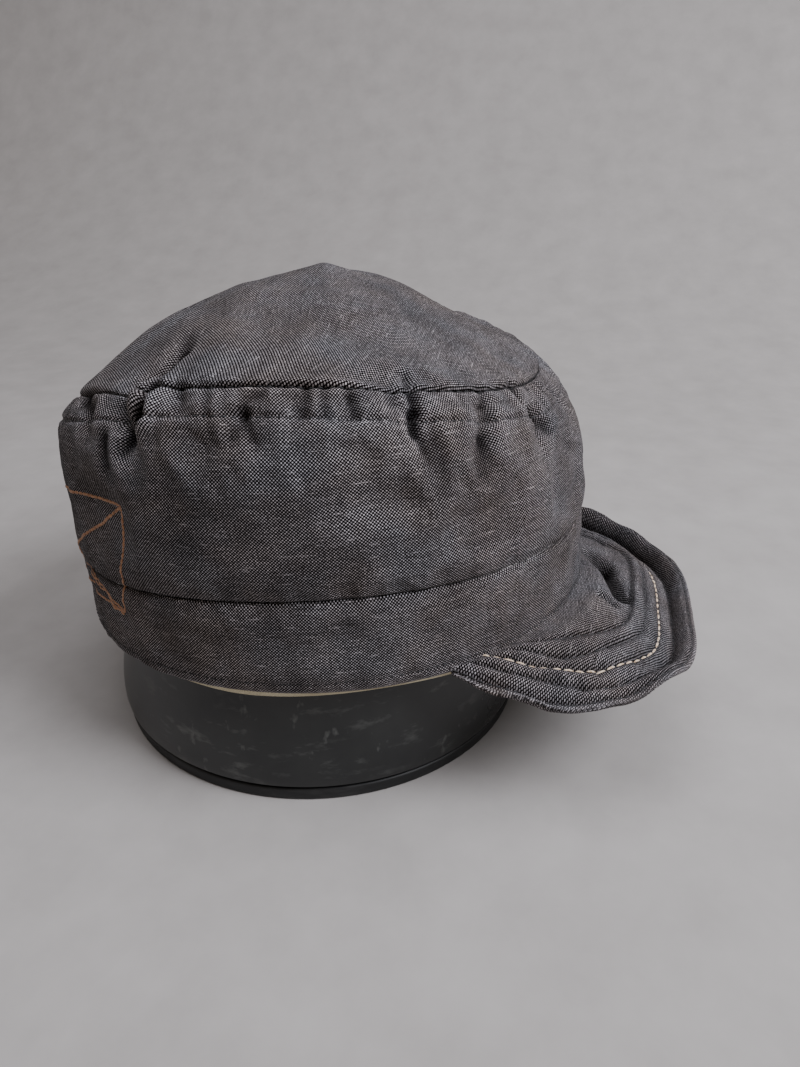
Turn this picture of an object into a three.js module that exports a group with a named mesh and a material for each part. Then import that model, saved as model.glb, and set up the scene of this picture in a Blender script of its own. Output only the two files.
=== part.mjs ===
// A soft patrol cap of woven cloth with a short stitched brim, resting on a plain round display stand.
// Millimetres. +Z is up, the brim points along -Y, and the wearer's right is -X.
// The origin is the centre of the stand's flat base.
import * as THREE from 'three';

// Sections of the crown from the hem up to the peak. The half length runs front to back and the half
// width side to side. The cap sits tilted back, so each section has a height at back, side and front.
const SECTIONS = [
  { name: 'hem', halfLength: 99.6, halfWidth: 88.5, centreY: -7.2, backZ: 42.3, sideZ: 50.5, frontZ: 58.2 },
  { name: 'bandSeam', halfLength: 99.4, halfWidth: 88.5, centreY: -5.4, backZ: 66, sideZ: 84.4, frontZ: 88 },
  { name: 'belly', halfLength: 100.4, halfWidth: 89.5, centreY: -3.4, backZ: 98, sideZ: 112, frontZ: 108 },
  { name: 'upper', halfLength: 96.5, halfWidth: 88, centreY: -2.6, backZ: 110, sideZ: 131, frontZ: 123 },
  { name: 'topStitch', halfLength: 94.2, halfWidth: 82.5, centreY: -0.2, backZ: 117, sideZ: 142.6, frontZ: 131.5 },
  { name: 'topSeam', halfLength: 86, halfWidth: 75.5, centreY: 0.3, backZ: 125.2, sideZ: 149.4, frontZ: 139.7 },
  { name: 'topOuter', halfLength: 52, halfWidth: 52, centreY: -8, backZ: 155.2, sideZ: 158.6, frontZ: 153.6 },
  { name: 'topInner', halfLength: 29.5, halfWidth: 27, centreY: -5, backZ: 164.8, sideZ: 167.6, frontZ: 165.2 },
  { name: 'peak', halfLength: 0, halfWidth: 0, centreY: -7, backZ: 174, sideZ: 174, frontZ: 174 },
];

// Pleats, gathers and dents pressed into the crown. The angle is measured from the front towards the
// wearer's right, levels count the sections above, and lean is how far the fold turns between them.
const FOLDS = [
  { angle: 113, lean: 9, fromLevel: 2.7, toLevel: 5.9, width: 5.5, depth: 4.4 },
  { angle: 124, lean: 2, fromLevel: 3.2, toLevel: 4.6, width: 5, depth: 1.8 },
  { angle: 97, lean: 3, fromLevel: 3.8, toLevel: 4.9, width: 3.5, depth: 1.2 },
  { angle: 84, lean: 2, fromLevel: 3, toLevel: 4.3, width: 5, depth: 2.2 },
  { angle: 75, lean: 0, fromLevel: 3.6, toLevel: 4.9, width: 3.5, depth: 1.4 },
  { angle: 67, lean: 0, fromLevel: 3.6, toLevel: 4.9, width: 3.5, depth: 1.5 },
  { angle: 54, lean: 4, fromLevel: 2.3, toLevel: 5.3, width: 5, depth: 3.8 },
  { angle: 39, lean: -6, fromLevel: 2.8, toLevel: 4.9, width: 4.5, depth: 2.2 },
  { angle: 21, lean: -3, fromLevel: 2.8, toLevel: 4.6, width: 6, depth: 2.6 },
  { angle: 2, lean: 2, fromLevel: 3.2, toLevel: 4.8, width: 5, depth: 1.8 },
  { angle: -19, lean: -4, fromLevel: 2.8, toLevel: 5.1, width: 5.5, depth: 2.8 },
  { angle: -38, lean: 2, fromLevel: 3.5, toLevel: 4.8, width: 4, depth: 1.6 },
  { angle: -57, lean: -5, fromLevel: 2.5, toLevel: 5.3, width: 5, depth: 3.4 },
  { angle: -74, lean: 0, fromLevel: 3.6, toLevel: 4.8, width: 4, depth: 1.4 },
  { angle: -91, lean: 3, fromLevel: 3.1, toLevel: 4.5, width: 5, depth: 2.2 },
  { angle: -112, lean: -7, fromLevel: 2.6, toLevel: 5.6, width: 5.5, depth: 3.6 },
  { angle: -133, lean: 2, fromLevel: 3.3, toLevel: 4.7, width: 5, depth: 1.8 },
  { angle: 156, lean: 4, fromLevel: 2.7, toLevel: 5.2, width: 6, depth: 2.8 },
  { angle: 178, lean: -3, fromLevel: 3.1, toLevel: 4.8, width: 5.5, depth: 2 },
  { angle: -157, lean: -4, fromLevel: 2.8, toLevel: 5.2, width: 6, depth: 2.6 },
];

// Broad soft hollows where the cloth sags between its seams. Where the depth is negative it stands full.
const HOLLOWS = [
  { angle: 66, level: 6.2, width: 16, reach: 0.5, depth: 1.6 },
  { angle: -60, level: 5.9, width: 18, reach: 0.5, depth: 1.8 },
  { angle: 168, level: 5.8, width: 20, reach: 0.5, depth: 2 },
  { angle: 138, level: 1.9, width: 22, reach: 0.7, depth: 2.2 },
  { angle: -125, level: 2, width: 22, reach: 0.7, depth: 2 },
  { angle: 30, level: 2.2, width: 20, reach: 0.6, depth: 1.4 },
  { angle: 157, level: 5.85, width: 26, reach: 0.5, depth: -4.6 },
  { angle: -46, level: 5.4, width: 36, reach: 1.1, depth: 4 },
];

// Cloth thicknesses, each of two or more layers stitched together, and the gap left between pieces.
const CROWN_THICKNESS = 1.6;
const BAND_THICKNESS = 2.2;
const SWEATBAND_THICKNESS = 0.9;
const SWEATBAND_SHOWS_BELOW_HEM = 1.1;
const SWEATBAND_TOP_LEVEL = 0.86;
const GAP = 0.3;

// The brim in plan: the corners lie on the band, and the outline is a rounded box ahead of them.
const BRIM_HALF_CHORD = 71.6;
const BRIM_CORNER_Y = -66.6;
const BRIM_REACH = 85.4;
const BRIM_SQUARENESS = 0.52;
const BRIM_FRONT_ROUNDNESS = 1.08;
const BRIM_ROOT_ANGLE = 53;
const BRIM_END_TURN = 86.5;
const BRIM_THICKNESS = 3;
const BRIM_EDGE_THICKNESS = 1.8;
const BRIM_ROOT_LIFT = 3;
const BRIM_RING_PLACE = 0.5;

// Stations round the brim, turning from the wearer's right at 90 to the left at -90. The ring is
// half way out, the brink is the surface's height near the edge, and the lip turns up beyond it.
// The dip is the hollow close to the band, and where it is negative the brim is puffed up there.
const BRIM_STATIONS = [
  { turn: 90, ringZ: 59, brinkZ: 59, lip: 0, dip: 0 },
  { turn: 74, ringZ: 56, brinkZ: 51.4, lip: 0, dip: 0 },
  { turn: 58, ringZ: 55, brinkZ: 45.8, lip: 0, dip: -1 },
  { turn: 44, ringZ: 55.4, brinkZ: 46.6, lip: 0.8, dip: -2.4 },
  { turn: 28, ringZ: 57.4, brinkZ: 46.6, lip: 6.4, dip: -3 },
  { turn: 14, ringZ: 58.6, brinkZ: 43, lip: 7.4, dip: -3 },
  { turn: 0, ringZ: 58.4, brinkZ: 41.4, lip: 7.6, dip: -2.4 },
  { turn: -28, ringZ: 55, brinkZ: 41.6, lip: 9.8, dip: 1.2 },
  { turn: -44, ringZ: 52, brinkZ: 44.6, lip: 11, dip: 4 },
  { turn: -58, ringZ: 52, brinkZ: 48.8, lip: 11, dip: 5 },
  { turn: -74, ringZ: 54, brinkZ: 54, lip: 8, dip: 3 },
  { turn: -90, ringZ: 56, brinkZ: 59, lip: 1, dip: 0 },
];
const BRIM_DIP_PLACE = 0.24;
const BRIM_DIP_WIDTH = 0.13;

// Stitch rows follow the brim's edge at these distances ahead, and the padding swells between them.
// Round the sides they close up to a share of the distance, from one turn to another.
const BRIM_ROW_DISTANCES = [1.8, 7.6, 13.4, 19, 24.6];
const ROWS_CLOSE_UP = 0.64;
const CLOSE_UP_FROM = 18;
const CLOSE_UP_TO = 48;
const BRIM_RIB_HEIGHT = 1.1;
const BRIM_LIP_START = 9;
const BRIM_LIP_END = 1.6;

// The stand: a round block with a domed top, on a thin base disc that is set in under it.
const STAND_BASE_RADIUS = 84.6;
const STAND_BASE_FOOT_RADIUS = 83.8;
const STAND_BASE_HEIGHT = 5;
const STAND_PROFILE = [
  { radius: 85.6, z: 6.4 },
  { radius: 86, z: 11 },
  { radius: 85, z: 19 },
  { radius: 83, z: 29 },
  { radius: 80.6, z: 40 },
  { radius: 78.8, z: 51 },
  { radius: 76.6, z: 66 },
  { radius: 73.8, z: 84 },
  { radius: 69.6, z: 101 },
  { radius: 63, z: 117 },
  { radius: 53.5, z: 131.5 },
  { radius: 41.5, z: 145 },
  { radius: 28, z: 157 },
  { radius: 13.5, z: 165.6 },
];
const STAND_TOP_Z = 168.6;

// How finely each piece is divided.
const CROWN_STEPS = 90;
const CROWN_SIDE_STEPS = 108;
const SWEATBAND_STEPS = 60;
const STAND_STEPS = 48;
const BRIM_STEPS = 42;
const BRIM_ROWS = 17;
const BRIM_EDGE_SAMPLES = 120;
const BRIM_FINE_STEPS = 1201;
const TINY = 1e-6;

const LEVEL = Object.fromEntries(SECTIONS.map((section, index) => [section.name, index]));
const TOP_LEVEL = SECTIONS.length - 1;
const radians = THREE.MathUtils.degToRad;
const smooth = THREE.MathUtils.smoothstep;

// The point of one section at an angle from the front, with its height tilted and saddled round it.
function sectionPoint(section, angle) {
  const forward = Math.cos(radians(angle));
  const aside = Math.sin(radians(angle));
  const tilt = (section.frontZ - section.backZ) / 2;
  const saddle = (section.frontZ + section.backZ) / 2 - section.sideZ;
  return new THREE.Vector3(
    -section.halfWidth * aside,
    section.centreY - section.halfLength * forward,
    section.sideZ + tilt * forward + saddle * forward * forward,
  );
}

// A smooth line up the crown at one angle, through every section.
function crownLine(angle) {
  const points = SECTIONS.map((section) => sectionPoint(section, angle));
  return new THREE.CatmullRomCurve3(points, false, 'centripetal');
}

function plainPoint(angle, level) {
  return crownLine(angle).getPoint(level / TOP_LEVEL);
}

// The outward direction of the plain crown, from steps along it and round it.
function outward(angle, level) {
  if (level > TOP_LEVEL - 0.05) return new THREE.Vector3(0, 0, 1);
  const turnStep = 0.5;
  const levelStep = 0.02;
  const low = Math.max(level - levelStep, 0);
  const round = plainPoint(angle + turnStep, level).sub(plainPoint(angle - turnStep, level));
  const up = plainPoint(angle, level + levelStep).sub(plainPoint(angle, low));
  return up.cross(round).normalize();
}

function turnBetween(a, b) {
  return THREE.MathUtils.euclideanModulo(a - b + 180, 360) - 180;
}

// How far the folds and hollows press the cloth in at a place on the crown.
function pressedIn(angle, level, radius) {
  let depth = 0;
  for (const fold of FOLDS) {
    const along = (level - fold.fromLevel) / (fold.toLevel - fold.fromLevel);
    const centre = fold.angle + fold.lean * (along - 0.5);
    const across = radians(turnBetween(angle, centre)) * radius;
    const run = smooth(along, -0.1, 0.4) * (1 - smooth(along, 0.75, 1.1));
    depth += fold.depth * run * Math.exp(-((across / fold.width) ** 2));
  }
  for (const hollow of HOLLOWS) {
    const across = (radians(turnBetween(angle, hollow.angle)) * radius) / hollow.width;
    const along = (level - hollow.level) / hollow.reach;
    depth += hollow.depth * Math.exp(-across * across - along * along);
  }
  return depth;
}

// A place on the cloth, a given distance under its outer face.
function clothPoint(angle, level, under) {
  const point = plainPoint(angle, level);
  const radius = Math.hypot(point.x, point.y - SECTIONS[LEVEL.belly].centreY);
  const inward = pressedIn(angle, level, radius) + under;
  return point.addScaledVector(outward(angle, level), -inward);
}

function clothRing(level, under, steps = CROWN_STEPS) {
  return Array.from({ length: steps }, (_, i) => clothPoint((360 * i) / steps, level, under));
}

function between(from, to, count) {
  return Array.from({ length: count }, (_, i) => from + ((to - from) * i) / (count - 1));
}

// A closed mesh from a list of points and a list of triangles.
function closedMesh(name, points, triangles, material) {
  const geometry = new THREE.BufferGeometry().setFromPoints(points);
  geometry.setIndex(triangles.flat());
  geometry.computeVertexNormals();
  const mesh = new THREE.Mesh(geometry, material);
  mesh.name = name;
  return mesh;
}

// A wall that goes up its outer rings and down its inner ones. With a peak, both faces close over it.
function clothWall(name, outerRings, innerRings, peaks, material) {
  const rings = [...outerRings, ...innerRings.slice().reverse()];
  const steps = rings[0].length;
  const points = rings.flat();
  const triangles = [];
  const join = (lower, upper) => {
    for (let i = 0; i < steps; i += 1) {
      const next = (i + 1) % steps;
      const [a, b] = [lower * steps + i, lower * steps + next];
      const [c, d] = [upper * steps + i, upper * steps + next];
      triangles.push([a, c, b], [b, c, d]);
    }
  };
  for (let ring = 0; ring < rings.length - 1; ring += 1) {
    if (peaks && ring === outerRings.length - 1) continue;
    join(ring, ring + 1);
  }
  join(rings.length - 1, 0);
  if (peaks) {
    const outerLast = (outerRings.length - 1) * steps;
    const innerLast = outerRings.length * steps;
    const [outerPeak, innerPeak] = [points.length, points.length + 1];
    points.push(peaks.outer, peaks.inner);
    for (let i = 0; i < steps; i += 1) {
      const next = (i + 1) % steps;
      triangles.push([outerLast + i, outerPeak, outerLast + next]);
      triangles.push([innerLast + i, innerLast + next, innerPeak]);
    }
  }
  return closedMesh(name, points, triangles, material);
}

// The level that lies a small distance above or below a seam.
function levelBeside(level, distance) {
  const here = plainPoint(90, level);
  const there = plainPoint(90, level + Math.sign(distance) * 0.5);
  return level + (distance * 0.5) / here.distanceTo(there);
}

function crownTop(material) {
  const start = levelBeside(LEVEL.topSeam, GAP / 2);
  const outerLevels = [start, 5.3, 5.65, 6.1, 6.6, 7.1, 7.6];
  const innerLevels = [start, 5.7, 6.6, 7.5];
  const peaks = {
    outer: clothPoint(0, TOP_LEVEL, 0),
    inner: clothPoint(0, TOP_LEVEL, CROWN_THICKNESS),
  };
  const outer = outerLevels.map((level) => clothRing(level, 0));
  const inner = innerLevels.map((level) => clothRing(level, CROWN_THICKNESS));
  return clothWall('crown_top', outer, inner, peaks, material);
}

function crownSide(material) {
  const start = levelBeside(LEVEL.bandSeam, GAP / 2);
  const end = levelBeside(LEVEL.topSeam, -GAP / 2);
  const outerLevels = [start, 1.5, 2.1, 2.6, 3, 3.4, 3.8, 4.2, 4.6, end];
  const innerLevels = [start, 2.3, 3.3, 4.2, end];
  const outer = outerLevels.map((level) => clothRing(level, 0, CROWN_SIDE_STEPS));
  const inner = innerLevels.map((level) => clothRing(level, CROWN_THICKNESS, CROWN_SIDE_STEPS));
  return clothWall('crown_side', outer, inner, null, material);
}

function band(material) {
  const end = levelBeside(LEVEL.bandSeam, -GAP / 2);
  const outer = [0, 0.35, 0.7, end].map((level) => clothRing(level, 0));
  const inner = [0, 0.45, end].map((level) => clothRing(level, BAND_THICKNESS));
  return clothWall('band', outer, inner, null, material);
}

// The tape inside the band, whose lower edge shows just under the hem.
function sweatband(material) {
  const outside = BAND_THICKNESS + GAP;
  const inside = outside + SWEATBAND_THICKNESS;
  const face = (under) => {
    const rings = [0, SWEATBAND_TOP_LEVEL].map((level) => clothRing(level, under, SWEATBAND_STEPS));
    rings[0].forEach((point) => (point.z -= SWEATBAND_SHOWS_BELOW_HEM));
    return rings;
  };
  return clothWall('sweatband', face(outside), face(inside), null, material);
}

// The brim's outer edge in plan, from the wearer's right at a turn of 90 to the left at -90.
function brimEdge(turn) {
  const aside = Math.sin(radians(turn));
  const ahead = Math.max(Math.cos(radians(turn)), 0);
  return new THREE.Vector2(
    -BRIM_HALF_CHORD * Math.sign(aside) * Math.abs(aside) ** BRIM_SQUARENESS,
    BRIM_CORNER_Y - BRIM_REACH * ahead ** BRIM_FRONT_ROUNDNESS,
  );
}

// Turns that space the brim's outline evenly.
function evenTurns(count) {
  const end = Math.sin(radians(BRIM_END_TURN)) ** BRIM_SQUARENESS;
  const turns = between(end, -end, BRIM_FINE_STEPS).map((share) => {
    const aside = Math.abs(share) ** (1 / BRIM_SQUARENESS);
    return Math.sign(share) * THREE.MathUtils.radToDeg(Math.asin(aside));
  });
  const arcs = [0];
  for (let i = 1; i < turns.length; i += 1) {
    arcs.push(arcs[i - 1] + brimEdge(turns[i]).distanceTo(brimEdge(turns[i - 1])));
  }
  return between(0, arcs.at(-1), count).map((arc) => {
    const after = Math.max(1, arcs.findIndex((value) => value >= arc - TINY));
    const share = (arc - arcs[after - 1]) / (arcs[after] - arcs[after - 1]);
    return THREE.MathUtils.lerp(turns[after - 1], turns[after], share);
  });
}

const BRIM_EDGE = evenTurns(BRIM_EDGE_SAMPLES).map(brimEdge);

function distanceToBrimEdge(x, y) {
  return Math.min(...BRIM_EDGE.map((point) => Math.hypot(point.x - x, point.y - y)));
}

// A station's value at any turn, eased from one row of the table to the next.
function brimStation(turn, column) {
  const after = Math.max(1, BRIM_STATIONS.findIndex((station) => station.turn <= turn));
  const [low, high] = [BRIM_STATIONS[after - 1], BRIM_STATIONS[after]];
  const share = smooth((low.turn - turn) / (low.turn - high.turn), 0, 1);
  return THREE.MathUtils.lerp(low[column], high[column], share);
}

// How far the stitch rows have closed up towards the edge at a turn.
function rowShare(turn) {
  return 1 - (1 - ROWS_CLOSE_UP) * smooth(Math.abs(turn), CLOSE_UP_FROM, CLOSE_UP_TO);
}

function brimRib(distance) {
  for (let row = 0; row < BRIM_ROW_DISTANCES.length - 1; row += 1) {
    const [from, to] = [BRIM_ROW_DISTANCES[row], BRIM_ROW_DISTANCES[row + 1]];
    if (distance >= from && distance < to) {
      return BRIM_RIB_HEIGHT * Math.sin((Math.PI * (distance - from)) / (to - from));
    }
  }
  return 0;
}

// The brim's upper face: it leaves the band, runs over the ring to the brink and turns up at the lip.
function brimTop(turn, out) {
  const rootAngle = BRIM_ROOT_ANGLE * Math.sin(radians(turn));
  const root = clothPoint(rootAngle, 0, -GAP);
  root.z += BRIM_ROOT_LIFT;
  const edge = brimEdge(turn);
  const x = THREE.MathUtils.lerp(root.x, edge.x, out);
  const y = THREE.MathUtils.lerp(root.y, edge.y, out);
  const ringZ = brimStation(turn, 'ringZ');
  const brinkZ = brimStation(turn, 'brinkZ');
  const toRing = root.z + (ringZ - root.z) * smooth(out, 0, BRIM_RING_PLACE);
  const fall = Math.max(out - BRIM_RING_PLACE, 0) / (1 - BRIM_RING_PLACE);
  const plain = THREE.MathUtils.lerp(toRing, brinkZ, Math.sin((fall * Math.PI) / 2) ** 1.3);
  const distance = distanceToBrimEdge(x, y) / rowShare(turn);
  const lip = brimStation(turn, 'lip') * (1 - smooth(distance, BRIM_LIP_END, BRIM_LIP_START));
  const dip = brimStation(turn, 'dip') * Math.exp(-(((out - BRIM_DIP_PLACE) / BRIM_DIP_WIDTH) ** 2));
  const rib = brimRib(distance) * smooth(out, 0.04, 0.16);
  return new THREE.Vector3(x, y, plain - dip + lip + rib);
}

function brim(material) {
  const turns = evenTurns(BRIM_STEPS + 1);
  const places = between(0, 1, BRIM_ROWS + 1).map((place) => place ** 0.85);
  const upper = turns.map((turn) => places.map((out) => brimTop(turn, out)));
  const lower = upper.map((row) => row.map((point, i) => {
    const thickness = i === BRIM_ROWS ? BRIM_EDGE_THICKNESS : BRIM_THICKNESS;
    return point.clone().setZ(point.z - thickness);
  }));
  const width = BRIM_ROWS + 1;
  const count = width * turns.length;
  const points = [...upper.flat(), ...lower.flat()];
  const triangles = [];
  const quad = (a, b, c, d) => triangles.push([a, b, c], [a, c, d]);
  for (let i = 0; i < BRIM_STEPS; i += 1) {
    for (let j = 0; j < BRIM_ROWS; j += 1) {
      const [a, b] = [i * width + j, i * width + j + 1];
      const [c, d] = [b + width, a + width];
      quad(a, b, c, d);
      quad(count + a, count + d, count + c, count + b);
    }
    const [root, nextRoot] = [i * width, (i + 1) * width];
    const [edge, nextEdge] = [root + BRIM_ROWS, nextRoot + BRIM_ROWS];
    quad(root, nextRoot, count + nextRoot, count + root);
    quad(nextEdge, edge, count + edge, count + nextEdge);
  }
  const last = BRIM_STEPS * width;
  for (let j = 0; j < BRIM_ROWS; j += 1) {
    quad(j + 1, j, count + j, count + j + 1);
    quad(last + j, last + j + 1, count + last + j + 1, count + last + j);
  }
  return closedMesh('brim', points, triangles, material);
}

function turned(name, profile, material) {
  const outline = profile.map(([radius, z]) => new THREE.Vector2(radius, z));
  const geometry = new THREE.LatheGeometry(outline, STAND_STEPS);
  const mesh = new THREE.Mesh(geometry.rotateX(Math.PI / 2), material);
  mesh.name = name;
  return mesh;
}

function standForm(material) {
  const bottom = STAND_BASE_HEIGHT + GAP;
  const profile = STAND_PROFILE.map(({ radius, z }) => [radius, z]);
  return turned('stand_form', [[0, bottom], [STAND_BASE_RADIUS, bottom], ...profile, [0, STAND_TOP_Z]], material);
}

function standBase(material) {
  const profile = [
    [0, 0],
    [STAND_BASE_FOOT_RADIUS, 0],
    [STAND_BASE_RADIUS, 1],
    [STAND_BASE_RADIUS, STAND_BASE_HEIGHT],
    [0, STAND_BASE_HEIGHT],
  ];
  return turned('stand_base', profile, material);
}

const chambray = new THREE.MeshStandardMaterial({ color: 0x4b474b, roughness: 0.95, metalness: 0 });
const tape = new THREE.MeshStandardMaterial({ color: 0xc9bfa6, roughness: 0.9, metalness: 0 });
const slateFinish = new THREE.MeshStandardMaterial({ color: 0x2b3034, roughness: 0.45, metalness: 0 });
const blackFinish = new THREE.MeshStandardMaterial({ color: 0x0d0e10, roughness: 0.5, metalness: 0 });

const cap = new THREE.Group();
cap.add(crownTop(chambray), crownSide(chambray), band(chambray), sweatband(tape), brim(chambray));

const stand = new THREE.Group();
stand.add(standForm(slateFinish), standBase(blackFinish));

const model = new THREE.Group();
model.add(cap, stand);

export default model;
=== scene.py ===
"""A soft patrol cap of dark chambray with a short stitched brim, resting on a plain round display stand."""
import math
from collections import namedtuple

import bpy
import numpy as np
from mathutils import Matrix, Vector, noise


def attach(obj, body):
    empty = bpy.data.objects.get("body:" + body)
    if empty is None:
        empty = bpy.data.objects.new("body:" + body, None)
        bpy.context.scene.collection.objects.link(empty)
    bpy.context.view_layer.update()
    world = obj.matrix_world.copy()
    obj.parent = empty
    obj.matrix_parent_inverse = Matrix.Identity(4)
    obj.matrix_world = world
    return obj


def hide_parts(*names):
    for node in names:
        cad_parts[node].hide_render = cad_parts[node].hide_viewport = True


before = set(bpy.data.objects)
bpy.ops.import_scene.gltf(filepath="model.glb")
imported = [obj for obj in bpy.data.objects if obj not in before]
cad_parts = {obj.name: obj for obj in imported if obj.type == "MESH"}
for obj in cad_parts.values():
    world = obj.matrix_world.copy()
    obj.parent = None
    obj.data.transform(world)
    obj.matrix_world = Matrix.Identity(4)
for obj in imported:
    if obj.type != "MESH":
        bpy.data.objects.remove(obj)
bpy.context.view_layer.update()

MM = 0.001

# The camera stands to the wearer's right, a little above the cap, and looks down at it. Its lens is as
# wide as the photograph's, on a sensor whose long side is 36 mm.
CAMERA_PLACE = (-0.28376, -0.10328, 0.2142)
CAMERA_PITCH = 63.6
CAMERA_TURN = -76.47
CAMERA_LENS = 26.99
CAMERA_SENSOR = 36

# Sections of the crown from the hem up to the peak, in millimetres. The half length runs front to back
# and the half width side to side. The cap sits tilted back, so each has a height at back, side and front.
Section = namedtuple("Section", "name half_length half_width centre_y back_z side_z front_z")
SECTIONS = (
    Section("hem", 99.6, 88.5, -7.2, 42.3, 50.5, 58.2),
    Section("band_seam", 99.4, 88.5, -5.4, 66, 84.4, 88),
    Section("belly", 100.4, 89.5, -3.4, 98, 112, 108),
    Section("upper", 96.5, 88, -2.6, 110, 131, 123),
    Section("top_stitch", 94.2, 82.5, -0.2, 117, 142.6, 131.5),
    Section("top_seam", 86, 75.5, 0.3, 125.2, 149.4, 139.7),
    Section("top_outer", 52, 52, -8, 155.2, 158.6, 153.6),
    Section("top_inner", 29.5, 27, -5, 164.8, 167.6, 165.2),
    Section("peak", 0, 0, -7, 174, 174, 174),
)
LEVEL = {section.name: index for index, section in enumerate(SECTIONS)}
TOP_LEVEL = len(SECTIONS) - 1

# Pleats, gathers and dents pressed into the crown. The angle in degrees is measured from the front
# towards the wearer's right, levels count the sections, and widths and depths are in millimetres.
Fold = namedtuple("Fold", "angle lean from_level to_level width depth")
FOLDS = (
    Fold(113, 9, 2.7, 5.9, 5.5, 4.4),
    Fold(124, 2, 3.2, 4.6, 5, 1.8),
    Fold(97, 3, 3.8, 4.9, 3.5, 1.2),
    Fold(84, 2, 3, 4.3, 5, 2.2),
    Fold(75, 0, 3.6, 4.9, 3.5, 1.4),
    Fold(67, 0, 3.6, 4.9, 3.5, 1.5),
    Fold(54, 4, 2.3, 5.3, 5, 3.8),
    Fold(39, -6, 2.8, 4.9, 4.5, 2.2),
    Fold(21, -3, 2.8, 4.6, 6, 2.6),
    Fold(2, 2, 3.2, 4.8, 5, 1.8),
    Fold(-19, -4, 2.8, 5.1, 5.5, 2.8),
    Fold(-38, 2, 3.5, 4.8, 4, 1.6),
    Fold(-57, -5, 2.5, 5.3, 5, 3.4),
    Fold(-74, 0, 3.6, 4.8, 4, 1.4),
    Fold(-91, 3, 3.1, 4.5, 5, 2.2),
    Fold(-112, -7, 2.6, 5.6, 5.5, 3.6),
    Fold(-133, 2, 3.3, 4.7, 5, 1.8),
    Fold(156, 4, 2.7, 5.2, 6, 2.8),
    Fold(178, -3, 3.1, 4.8, 5.5, 2),
    Fold(-157, -4, 2.8, 5.2, 6, 2.6),
)
Hollow = namedtuple("Hollow", "angle level width reach depth")
HOLLOWS = (
    Hollow(66, 6.2, 16, 0.5, 1.6),
    Hollow(-60, 5.9, 18, 0.5, 1.8),
    Hollow(168, 5.8, 20, 0.5, 2),
    Hollow(138, 1.9, 22, 0.7, 2.2),
    Hollow(-125, 2, 22, 0.7, 2),
    Hollow(30, 2.2, 20, 0.6, 1.4),
    Hollow(157, 5.85, 26, 0.5, -4.6),
    Hollow(-46, 5.4, 36, 1.1, 4),
)

# Cloth thicknesses, of two or more layers stitched together, and the gap left between pieces.
CROWN_THICKNESS = 1.6
BAND_THICKNESS = 2.2
SWEATBAND_THICKNESS = 0.9
SWEATBAND_SHOWS = 1.5
SWEATBAND_UNEVEN = 1.3
SWEATBAND_FLARE = 1.3
# The tape draws up behind the hem round this angle, all of the way within the near distance in degrees
# and not at all past the far one.
SWEATBAND_HIDES_AT = 142
SWEATBAND_HIDES_BY = 1.9
SWEATBAND_HIDES_NEAR = 14
SWEATBAND_HIDES_FAR = 48
SWEATBAND_TOP_LEVEL = 0.86
SWEATBAND_WEAVE_HEIGHT = 33
GAP = 0.3

# The brim in plan and across, in millimetres. Places are shares of the way out from the band.
BRIM_HALF_CHORD = 71.6
BRIM_CORNER_Y = -66.6
BRIM_REACH = 85.4
BRIM_SQUARENESS = 0.52
BRIM_FRONT_ROUNDNESS = 1.08
BRIM_ROOT_ANGLE = 53
BRIM_END_TURN = 86.5
BRIM_THICKNESS = 3
BRIM_ROOT_LIFT = 3
BRIM_TUCKED_IN = 0.5
BRIM_RING_PLACE = 0.5
BRIM_DIP_PLACE = 0.24
BRIM_DIP_WIDTH = 0.13
BRIM_LIP_START = 9
BRIM_LIP_END = 1.6
BRIM_RIB_HEIGHT = 1.1
# At each turn: the brim's height halfway out and at its edge, how far its lip turns up, and how deep
# the hollow beside the band is. The right side has positive turns, and the far side negative ones.
Station = namedtuple("Station", "turn ring_z brink_z lip dip")
BRIM_STATIONS = (
    Station(90, 59, 59, 0, 0),
    Station(74, 56, 51.4, 0, 0),
    Station(58, 55, 45.8, 0, -1),
    Station(44, 55.4, 46.6, 0.8, -2.4),
    Station(28, 57.4, 46.6, 6.4, -3),
    Station(14, 58.6, 43, 7.4, -3),
    Station(0, 58.4, 41.4, 7.6, -2.4),
    Station(-28, 55, 41.6, 9.8, 1.2),
    Station(-44, 52.6, 46.4, 9.2, 4),
    Station(-58, 53, 51.2, 8.8, 5),
    Station(-74, 55, 56.2, 6.2, 3),
    Station(-90, 56, 59, 1, 0),
)
# Stitch rows of the brim, by their distance from its edge ahead. The third is sewn in contrast thread.
# The rows close up to this share of the distance round the sides.
BRIM_ROW_DISTANCES = (1.8, 7.6, 13.4, 19, 24.6)
CONTRAST_ROW = 2
ROWS_CLOSE_UP = 0.64
CLOSE_UP_FROM = 18
CLOSE_UP_TO = 48
# Creases pressed into the brim, in plan.
Crease = namedtuple("Crease", "x y to_x to_y width depth")
BRIM_CREASES = (
    Crease(19, -109, 9, -117, 3.2, 4),
    Crease(9, -117, -12, -123.5, 3, 6.4),
    Crease(-18, -116.5, -20, -121, 1.7, 3),
    Crease(-61, -112, -53, -119, 1.8, 1.2),
    Crease(-51, -115, -54, -117, 0.9, 0.9),
    Crease(52, -121, 46, -130, 3, 1.8),
    Crease(-44, -131, -36, -139, 2.6, 1.4),
)

# The stand, in millimetres: radius and height up its block, over a thin base disc.
STAND_BASE_RADIUS = 84.6
STAND_BASE_HEIGHT = 5
STAND_PROFILE = (
    (84.6, 5.3), (85.6, 6.4), (86, 11), (85, 19), (83, 29), (80.6, 40), (78.8, 51), (76.6, 66),
    (73.8, 84), (69.6, 101), (63, 117), (53.5, 131.5), (41.5, 145), (28, 157), (13.5, 165.6),
    (1.5, 168.6),
)


# Shapes of the cloth


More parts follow.
